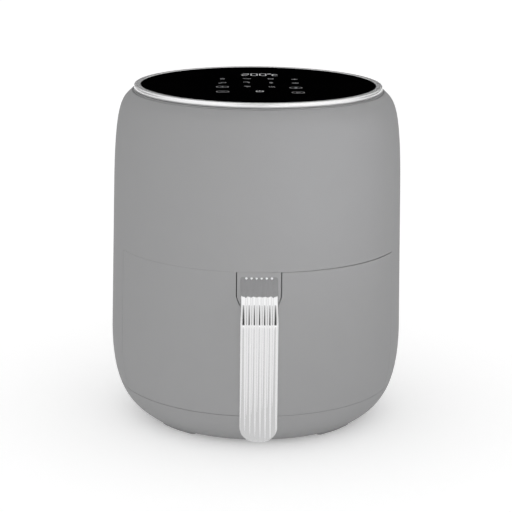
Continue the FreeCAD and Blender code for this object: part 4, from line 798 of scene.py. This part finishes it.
# %% Root block
NOTCH_GAP = 0.85
ROOT_DEPTH = 9.0
ROOT_EDGE = 0.4

root = drum.copy()
front_band(root)
cut_notch(root, NOTCH_GAP)
drop(root, lambda p: not in_notch(p, NOTCH_GAP))
root_block = settle(root, "handle_root_block", "drawer", "body_grey", "handle_root")
wall_and_edges(root_block, ROOT_DEPTH, ROOT_EDGE)
drum.free()

# %% [markdown]
# ## Ring and glass
#
# A satin silver ring holds the glass. Its top is a flat band with lines from the turning tool, and its
# outer edge rolls over to the upright side that catches the light at the front. Metal that is only partly
# mirror keeps the flat band a light grey where a full mirror would show the black card. The ring stands
# clear of the drum on a grey collar, and the thin gap between them is the dark line under the ring. The
# glass is flush with the ring and has a ground edge that is only half a millimetre wide.

# %% Turned satin
SATIN = (0.86, 0.86, 0.865, 1)
BRIGHT_SATIN = (0.92, 0.92, 0.925, 1)

tree, shader = new_finish("ring_satin", Metallic=0.7)
here = wire(tree, "SeparateXYZ", {0: object_point(tree)}).outputs
across = wire(tree, "CombineXYZ", {"X": here["X"], "Y": maths(tree, "SUBTRACT", here["Y"], AXIS_Y)})
radius = wire(tree, "VectorMath", {0: across.outputs[0]}, operation="LENGTH")
inputs = {"W": radius.outputs["Value"], "Scale": 5200.0, "Detail": 2.0}
lines = wire(tree, "TexNoise", inputs, noise_dimensions="1D").outputs[0]
fill(tree, shader, {
    "Base Color": blend(tree, lines, SATIN, BRIGHT_SATIN),
    "Roughness": spread(tree, lines, 0.20, 0.30),
})
emboss(tree, shader, lines, strength=0.1, distance=0.00005)
print("turned satin for the ring")

# %% Trim ring
RING_SECTION = [
    ((109.05, 310.2), None, None),
    ((109.05, 313.2), None, None),
    ((109.35, 313.5), None, None),
    ((113.7, 313.5), None, (114.42, 313.5)),
    ((115.0, 312.2), (115.0, 312.92), None),
    ((115.0, 309.4), None, None),
    ((113.25, 309.4), None, None),
    ((113.25, 310.2), None, None),
]
ring = turned(RING_SECTION, cyclic=True, steps=8, turns=256)
trim = settle(ring, "trim_bead", "casing", "chrome_trim", "trim_ring")
trim.data.materials[0] = finishes["ring_satin"]
even_shading(trim)

# %% Collar under the ring
COLLAR_SECTION = [(113.05, 307.02), (115.5, 307.02), (115.5, 308.4), (115.2, 308.85), (113.05, 308.85)]

collar = turned(corners(COLLAR_SECTION), cyclic=True, steps=1)
neck = settle(collar, "ring_collar", "casing", "body_grey")
neck.data.set_sharp_from_angle(angle=SHARP_ANGLE)

# %% Glass
GLASS_R = 108.8
GLASS_LOW = 310.2
GLASS_TOP = 313.4
GLASS_BEVEL = 0.6
GLASS_SECTION = [
    (0.0, GLASS_LOW),
    (GLASS_R, GLASS_LOW),
    (GLASS_R, GLASS_TOP - GLASS_BEVEL),
    (GLASS_R - GLASS_BEVEL, GLASS_TOP),
    (0.0, GLASS_TOP),
]
pane = turned(corners(GLASS_SECTION), steps=1)
glass = settle(pane, "panel_glass", "casing", "black_glass", "control_glass")
even_shading(glass)

# %% [markdown]
# ## Handle
#
# The handle leaves the drum, bends over and hangs down in front. Its cover is a plated moulding with
# seven round ribs between two rounded edges; they run along its whole length and end in a round tip. One
# Bezier line draws the ribs as a wave, a flattened copy of it makes the back, and a bridge between the
# two closes the section. The section is then drawn out: a straight run, a bend by spin, and a straight
# fall. At the drum the valleys rise to the crests, as the end of a milled flute does, and each one shows
# a bright dot. Light that comes off the drum passes the handle by, because in the picture the handle
# leaves no soft shade on the drum behind it.

# %% Rib line
RIBS = 7
HANDLE_WIDTH = 33.0
HANDLE_HALF = HANDLE_WIDTH / 2
HANDLE_EDGE = 0.9
RIB_PITCH = (HANDLE_WIDTH - 2 * HANDLE_EDGE) / RIBS
RIB_HEIGHT = 0.7
CREST_REACH = 0.6
VALLEY_REACH = 0.3
OUTER_CREST = 13.9
OUTER_REACH = 0.75
EDGE_LEVEL = -2.0

wave = []
for i in range(RIBS):
    middle = (i - (RIBS - 1) / 2) * RIB_PITCH
    if i > 0:
        wave.append((middle - RIB_PITCH / 2, -RIB_HEIGHT))
    crest = math.copysign(OUTER_CREST, middle) if i in (0, RIBS - 1) else middle
    wave.append((crest, 0.0))
edge_left = (-HANDLE_HALF, EDGE_LEVEL)
edge_right = (HANDLE_HALF, EDGE_LEVEL)
row = [edge_left] + wave + [edge_right]

knots = [(edge_left, None, (-HANDLE_HALF, EDGE_LEVEL / 2))]
for left, here, right in zip(row, row[1:], row[2:]):
    reach = CREST_REACH if here[1] == 0 else VALLEY_REACH
    if abs(here[0]) == OUTER_CREST:
        reach = OUTER_REACH
    before = (here[0] + (left[0] - here[0]) * reach, here[1])
    beyond = (here[0] + (right[0] - here[0]) * reach, here[1])
    knots.append((here, before, beyond))
knots.append((edge_right, (HANDLE_HALF, EDGE_LEVEL / 2), None))

bar = outline(knots, steps=8)
print("rib line", len(bar.verts), "points, highest", max(v.co.z for v in bar.verts))

# %% Handle section
COVER_DEPTH = 4.5

front_chain = bar.edges[:]
copied = bmesh.ops.duplicate(bar, geom=bar.verts[:] + bar.edges[:])["geom"]
back_points = [item for item in copied if isinstance(item, bmesh.types.BMVert)]
bmesh.ops.scale(bar, verts=back_points, vec=(1, 1, 0))
bmesh.ops.translate(bar, verts=back_points, vec=(0, 0, -COVER_DEPTH))
back_chain = [item for item in copied if isinstance(item, bmesh.types.BMEdge)]
bmesh.ops.bridge_loops(bar, edges=front_chain + back_chain)
print("section", len(bar.faces), "faces")

# %% Straight run with the flutes' ends
DROOP = math.radians(27.5)
HANDLE_START = Vector((0, -135.29, 163.5))
HANDLE_RUN = 22.43
HANDLE_ROOT_IN = 3.0
FLUTE_START = -0.6
FLUTE_RAMP = 2.4
FLUTE_STEPS = 6
RIB_SLACK = 0.01

ahead = Vector((0, -math.cos(DROOP), -math.sin(DROOP)))
inward = Vector((0, math.sin(DROOP), -math.cos(DROOP)))
bmesh.ops.rotate(bar, verts=bar.verts, cent=(0, 0, 0), matrix=Matrix.Rotation(DROOP, 3, "X"))
bmesh.ops.translate(bar, verts=bar.verts, vec=HANDLE_START - ahead * HANDLE_ROOT_IN)


def only_faces(items):
    return [item for item in items if isinstance(item, bmesh.types.BMFace)]


def end_points(faces):
    return list({v for f in faces for v in f.verts})


def draw_out(bm, faces, step, keep=False):
    """Extrude the end faces and move the new end; the old end faces go, unless they close the piece."""
    ends = only_faces(bmesh.ops.extrude_face_region(bm, geom=faces)["geom"])
    bmesh.ops.translate(bm, verts=end_points(ends), vec=step)
    if not keep:
        bmesh.ops.delete(bm, geom=faces, context="FACES_ONLY")
    return ends


def ease(share):
    """From nought to one with a soft start and a soft end."""
    return share ** 2 * (3 - 2 * share)


shallow = [(bar.verts[:], 1.0)]
run_end = draw_out(bar, bar.faces[:], ahead * (HANDLE_ROOT_IN + FLUTE_START), keep=True)
shallow.append((end_points(run_end), 1.0))
for i in range(1, FLUTE_STEPS + 1):
    run_end = draw_out(bar, run_end, ahead * (FLUTE_RAMP / FLUTE_STEPS))
    shallow.append((end_points(run_end), 1 - ease(i / FLUTE_STEPS)))
run_end = draw_out(bar, run_end, ahead * (HANDLE_RUN - FLUTE_START - FLUTE_RAMP))
for points, share in shallow:
    for vert in points:
        depth = (vert.co - HANDLE_START).dot(inward)
        if depth < RIB_HEIGHT + RIB_SLACK and abs(vert.co.x) < OUTER_CREST:
            vert.co -= inward * depth * share
print("run drawn", len(bar.faces), "faces")

# %% Bend and fall
BEND_R = 30.0
BEND_STEPS = 30
TIP_LEVEL = 24.8
TIP_ROUND = 13.0

bend_centre = HANDLE_START + ahead * HANDLE_RUN + inward * BEND_R
swept = bmesh.ops.spin(bar, geom=run_end, cent=bend_centre, axis=(1, 0, 0), dvec=(0, 0, 0),
                       angle=math.pi / 2 - DROOP, steps=BEND_STEPS)
bmesh.ops.delete(bar, geom=run_end, context="FACES_ONLY")
ends = only_faces(swept["geom_last"])
bend_end = sum((f.calc_center_median() for f in ends), Vector()) / len(ends)
print("bend ends at", [round(x, 2) for x in bend_end])
ends = draw_out(bar, ends, Vector((0, 0, TIP_LEVEL + TIP_ROUND - bend_centre.z)))

# %% Round tip
TIP_STEPS = ((0.45, 0.12), (0.3, 0.28), (0.15, 0.5))
TIP_EDGE = sum(fall for fall, inset in TIP_STEPS)
TIP_CRISP = 0.4


def tip_level(x):
    """Height of the rounded tip at a distance from the handle's middle."""
    over = max(0.0, abs(x) - (HANDLE_HALF - TIP_ROUND))
    return TIP_LEVEL + TIP_ROUND - math.sqrt(max(0.0, TIP_ROUND ** 2 - over ** 2))


for above in (TIP_CRISP, 0.0):
    ends = draw_out(bar, ends, Vector((0, 0, 0)))
    for vert in end_points(ends):
        vert.co.z = tip_level(vert.co.x) + TIP_EDGE + above
back_face = Matrix.Translation((0, BEND_R - bend_centre.y - COVER_DEPTH, 0))
for fall, inset in TIP_STEPS:
    ends = draw_out(bar, ends, Vector((0, 0, -fall)))
    shrink = (1 - 2 * inset / HANDLE_WIDTH, 1 - inset / COVER_DEPTH, 1)
    bmesh.ops.scale(bar, verts=end_points(ends), vec=shrink, space=back_face)
print("tip drawn, lowest point", round(min(v.co.z for v in bar.verts), 2))

# %% Fluted handle
bmesh.ops.remove_doubles(bar, verts=bar.verts, dist=MERGE)
bmesh.ops.recalc_face_normals(bar, faces=bar.faces)
cover = settle(bar, "fluted_handle", "drawer", "chrome_trim", "handle_cover")
cover.data.set_sharp_from_angle(angle=SHARP_ANGLE)
for bar_piece in (cover, nodes["handle_core"]):
    bar_piece.visible_diffuse = False

# %% [markdown]
# ## Signs on the glass
#
# The touch panel is printed on the glass: a readout at the back, small signs for the dishes in the middle
# and two framed keys on each side. They are drawn as lines on paper would be, a list of points for every
# stroke, and one curve object with a thin round bevel turns all of them into a mesh, which is then
# pressed flat onto the glass. The readout uses seven bars for each figure, as a real display does.

# %% Strokes for the signs
def ring_points(x, y, radius, first=0.0, last=360.0, steps=14):
    """Points along a ring or a part of it, between two angles."""
    turns = [math.radians(first + (last - first) * i / steps) for i in range(steps + 1)]
    return [(x + radius * math.cos(t), y + radius * math.sin(t)) for t in turns]


def frame_points(half_width, half_height):
    """A key's frame: straight above and below, round at both ends."""
    run = half_width - half_height
    right = ring_points(run, 0, half_height, -90, 90)
    left = ring_points(-run, 0, half_height, 90, 270)
    return right + left + right[:1]


def spoke(radius, turn):
    """A line through the middle of a sign."""
    x = radius * math.cos(turn)
    y = radius * math.sin(turn)
    return [(x, y), (-x, -y)]


SIGNS = {
    "fries": [
        [(-1.6, 0.6), (-1.2, -3), (1.2, -3), (1.6, 0.6), (-1.6, 0.6)],
        [(-1, 0.6), (-1.2, 2.6)], [(0, 0.6), (0, 3)], [(1, 0.6), (1.2, 2.5)]],
    "fish": [
        ring_points(-0.4, -1.6, 3, 35, 145), ring_points(-0.4, 1.6, 3, 215, 325),
        [(2, 0.1), (3.4, 1.4), (3.4, -1.4), (2, -0.1)]],
    "drumstick": [
        ring_points(0.8, 0.8, 1.9), [(-0.5, -0.5), (-2.4, -2.4)],
        ring_points(-2.8, -2.2, 0.5), ring_points(-2.2, -2.8, 0.5)],
    "cake": [
        [(-2, 0), (-1.4, -2.8), (1.4, -2.8), (2, 0)], ring_points(0, 0, 2.3, 0, 180), [(-2.3, 0), (2.3, 0)]],
    "prawn": [
        ring_points(0, 0, 2.4, -60, 200), ring_points(0, 0, 1.1, -40, 190),
        [(1.2, -2.1), (2.6, -2.9)], [(1.2, -2.1), (1, -3.2)]],
    "slice": [
        [(-2.6, 1.8), (0, -3), (2.6, 1.8)], ring_points(0, -0.6, 3.5, 42, 138),
        ring_points(-0.5, 0.6, 0.5), ring_points(0.7, -0.6, 0.4)],
    "leaf": [ring_points(-1.8, 0, 3, -52, 52), ring_points(1.8, 0, 3, 128, 232), [(0, -3.2), (0, 1.4)]],
    "flake": [spoke(3, turn) for turn in (0.52, 1.57, 2.62)],
    "steam": [[(x + 0.5 * math.sin(i * 1.05), i * 0.9 - 2.7) for i in range(7)] for x in (-1.8, 0, 1.8)],
    "clock": [ring_points(0, 0, 2.4), [(0, 1.5), (0, 0), (1.1, -0.6)]],
    "heat": [ring_points(0, -1.8, 1.1), [(-0.6, -0.9), (-0.6, 2.4), (0.6, 2.4), (0.6, -0.9)]],
    "plus": [[(-2, 0), (2, 0)], [(0, -2), (0, 2)]],
    "minus": [[(-2, 0), (2, 0)]],
    "power": [ring_points(0, 0, 2.8, 125, 415), [(0, 0.6), (0, 3.6)]],
    "start": [[(-1.2, -2.2), (2.2, 0), (-1.2, 2.2), (-1.2, -2.2)]],
}
print(len(SIGNS), "signs")

# %% Draw the signs
PANEL = [
    ("fries", -33.3, 28.8), ("drumstick", -33.1, 4.6), ("fish", -10.6, 30.9), ("prawn", -10.9, 8.8),
    ("slice", -10.4, -17.2), ("cake", 12.2, 31.5), ("leaf", 12.1, 6.9), ("steam", 12.1, -18.0),
    ("flake", 34.6, 29.3), ("clock", 34.7, 6.0),
]
KEYS = [("plus", -33.2, -20.3), ("minus", -32.9, -48.5), ("heat", 34.0, -22.3), ("start", 35.0, -50.5)]
SIGN_SCALE = 1.15
KEY_FRAME = (5.6, 4.6)
GLASS_PRINT = 0.04


def pressed_strokes(name, strokes, half_width):
    """All strokes as one flat mesh on top of the glass."""
    curve = bpy.data.curves.new(name, "CURVE")
    curve.dimensions = "3D"
    curve.bevel_depth = half_width
    curve.bevel_resolution = 1
    curve.use_fill_caps = True
    for points in strokes:
        line = curve.splines.new("POLY")
        line.points.add(len(points) - 1)
        for knot, (x, y) in zip(line.points, points):
            knot.co = (x, y, 0, 1)
    bm = curve_mesh(curve)
    bmesh.ops.scale(bm, verts=bm.verts, vec=(1, 1, GLASS_PRINT / half_width))
    bmesh.ops.translate(bm, verts=bm.verts, vec=(0, 0, GLASS_TOP))
    return bm


def moved(strokes, x, y, scale=1.0):
    return [[(x + px * scale, y + py * scale) for px, py in points] for points in strokes]


drawn = []
for sign, x, y in PANEL:
    drawn += moved(SIGNS[sign], x, y, SIGN_SCALE)
for sign, x, y in KEYS:
    drawn += moved(SIGNS[sign] + [frame_points(*KEY_FRAME)], x, y)
print(len(drawn), "strokes")

# %% Print and light
DIM_LIGHT = (0.55, 0.56, 0.58, 1)
FULL_LIGHT = (0.8, 0.81, 0.83, 1)

tree, shader = new_finish("panel_print", Specular_IOR_Level=0.3)
ink = place_group(tree, grain_group, {"Colour": (0.33, 0.33, 0.34, 1), "Grain": 3000.0, "Mottle": 0.25})
fill(tree, shader, {"Base Color": ink["Colour"], "Roughness": ink["Roughness"]})

tree, shader = new_finish("readout_light", Emission_Strength=0.14, Emission_Color=WHITE)
lamp_spots = noise(tree, object_point(tree), scale=420.0, detail=2.0)
fill(tree, shader, {"Base Color": blend(tree, lamp_spots, DIM_LIGHT, FULL_LIGHT)})
print("print and light ready")

# %% Panel signs
STROKE = 0.36

signs = settle(pressed_strokes("panel_signs", drawn, STROKE), "panel_signs", "casing", "black_glass")
signs.data.materials[0] = finishes["panel_print"]

# %% Readout
POWER_PLACE = (0.5, -44.8)
DIGIT_WIDTH = 5.7
DIGIT_HEIGHT = 13.0
DIGIT_STEP = 8.4
BAR_GAP = 0.7
BAR_HALF = 0.5
READOUT_LEFT = -14.35
READOUT_LOW = 50.9
DEGREE_R = 1.5
DEGREE_X = 0.6
DEGREE_DROP = 1.6
LETTER_R = 3.0
LETTER_X = 6.4
LETTER_DROP = 1.0

w = DIGIT_WIDTH
h = DIGIT_HEIGHT
half = h / 2
g = BAR_GAP
BARS = {
    "top": [(g, h), (w - g, h)], "middle": [(g, half), (w - g, half)], "bottom": [(g, 0), (w - g, 0)],
    "left_high": [(0, half + g), (0, h - g)], "right_high": [(w, half + g), (w, h - g)],
    "left_low": [(0, g), (0, half - g)], "right_low": [(w, g), (w, half - g)],
}
TWO = ["top", "right_high", "middle", "left_low", "bottom"]
ZERO = ["top", "left_high", "right_high", "left_low", "right_low", "bottom"]
FIGURES = [TWO, ZERO, ZERO]

lit_bars = moved(SIGNS["power"], *POWER_PLACE, SIGN_SCALE)
for place, figure in enumerate(FIGURES):
    bars = [BARS[bar_name] for bar_name in figure]
    lit_bars += moved(bars, READOUT_LEFT + place * DIGIT_STEP, READOUT_LOW)
after = READOUT_LEFT + len(FIGURES) * DIGIT_STEP
lit_bars.append(ring_points(after + DEGREE_X, READOUT_LOW + h - DEGREE_DROP, DEGREE_R))
letter_top = ring_points(after + LETTER_X, READOUT_LOW + half, LETTER_R, 50, 180)
letter_side = [(after + LETTER_X - LETTER_R, READOUT_LOW + half - LETTER_DROP)]
letter_foot = ring_points(after + LETTER_X, READOUT_LOW + LETTER_R, LETTER_R, 180, 310)
lit_bars.append(letter_top + letter_side + letter_foot)
readout = settle(pressed_strokes("readout_bars", lit_bars, BAR_HALF), "readout_bars", "casing",
                 "black_glass")
readout.data.materials[0] = finishes["readout_light"]
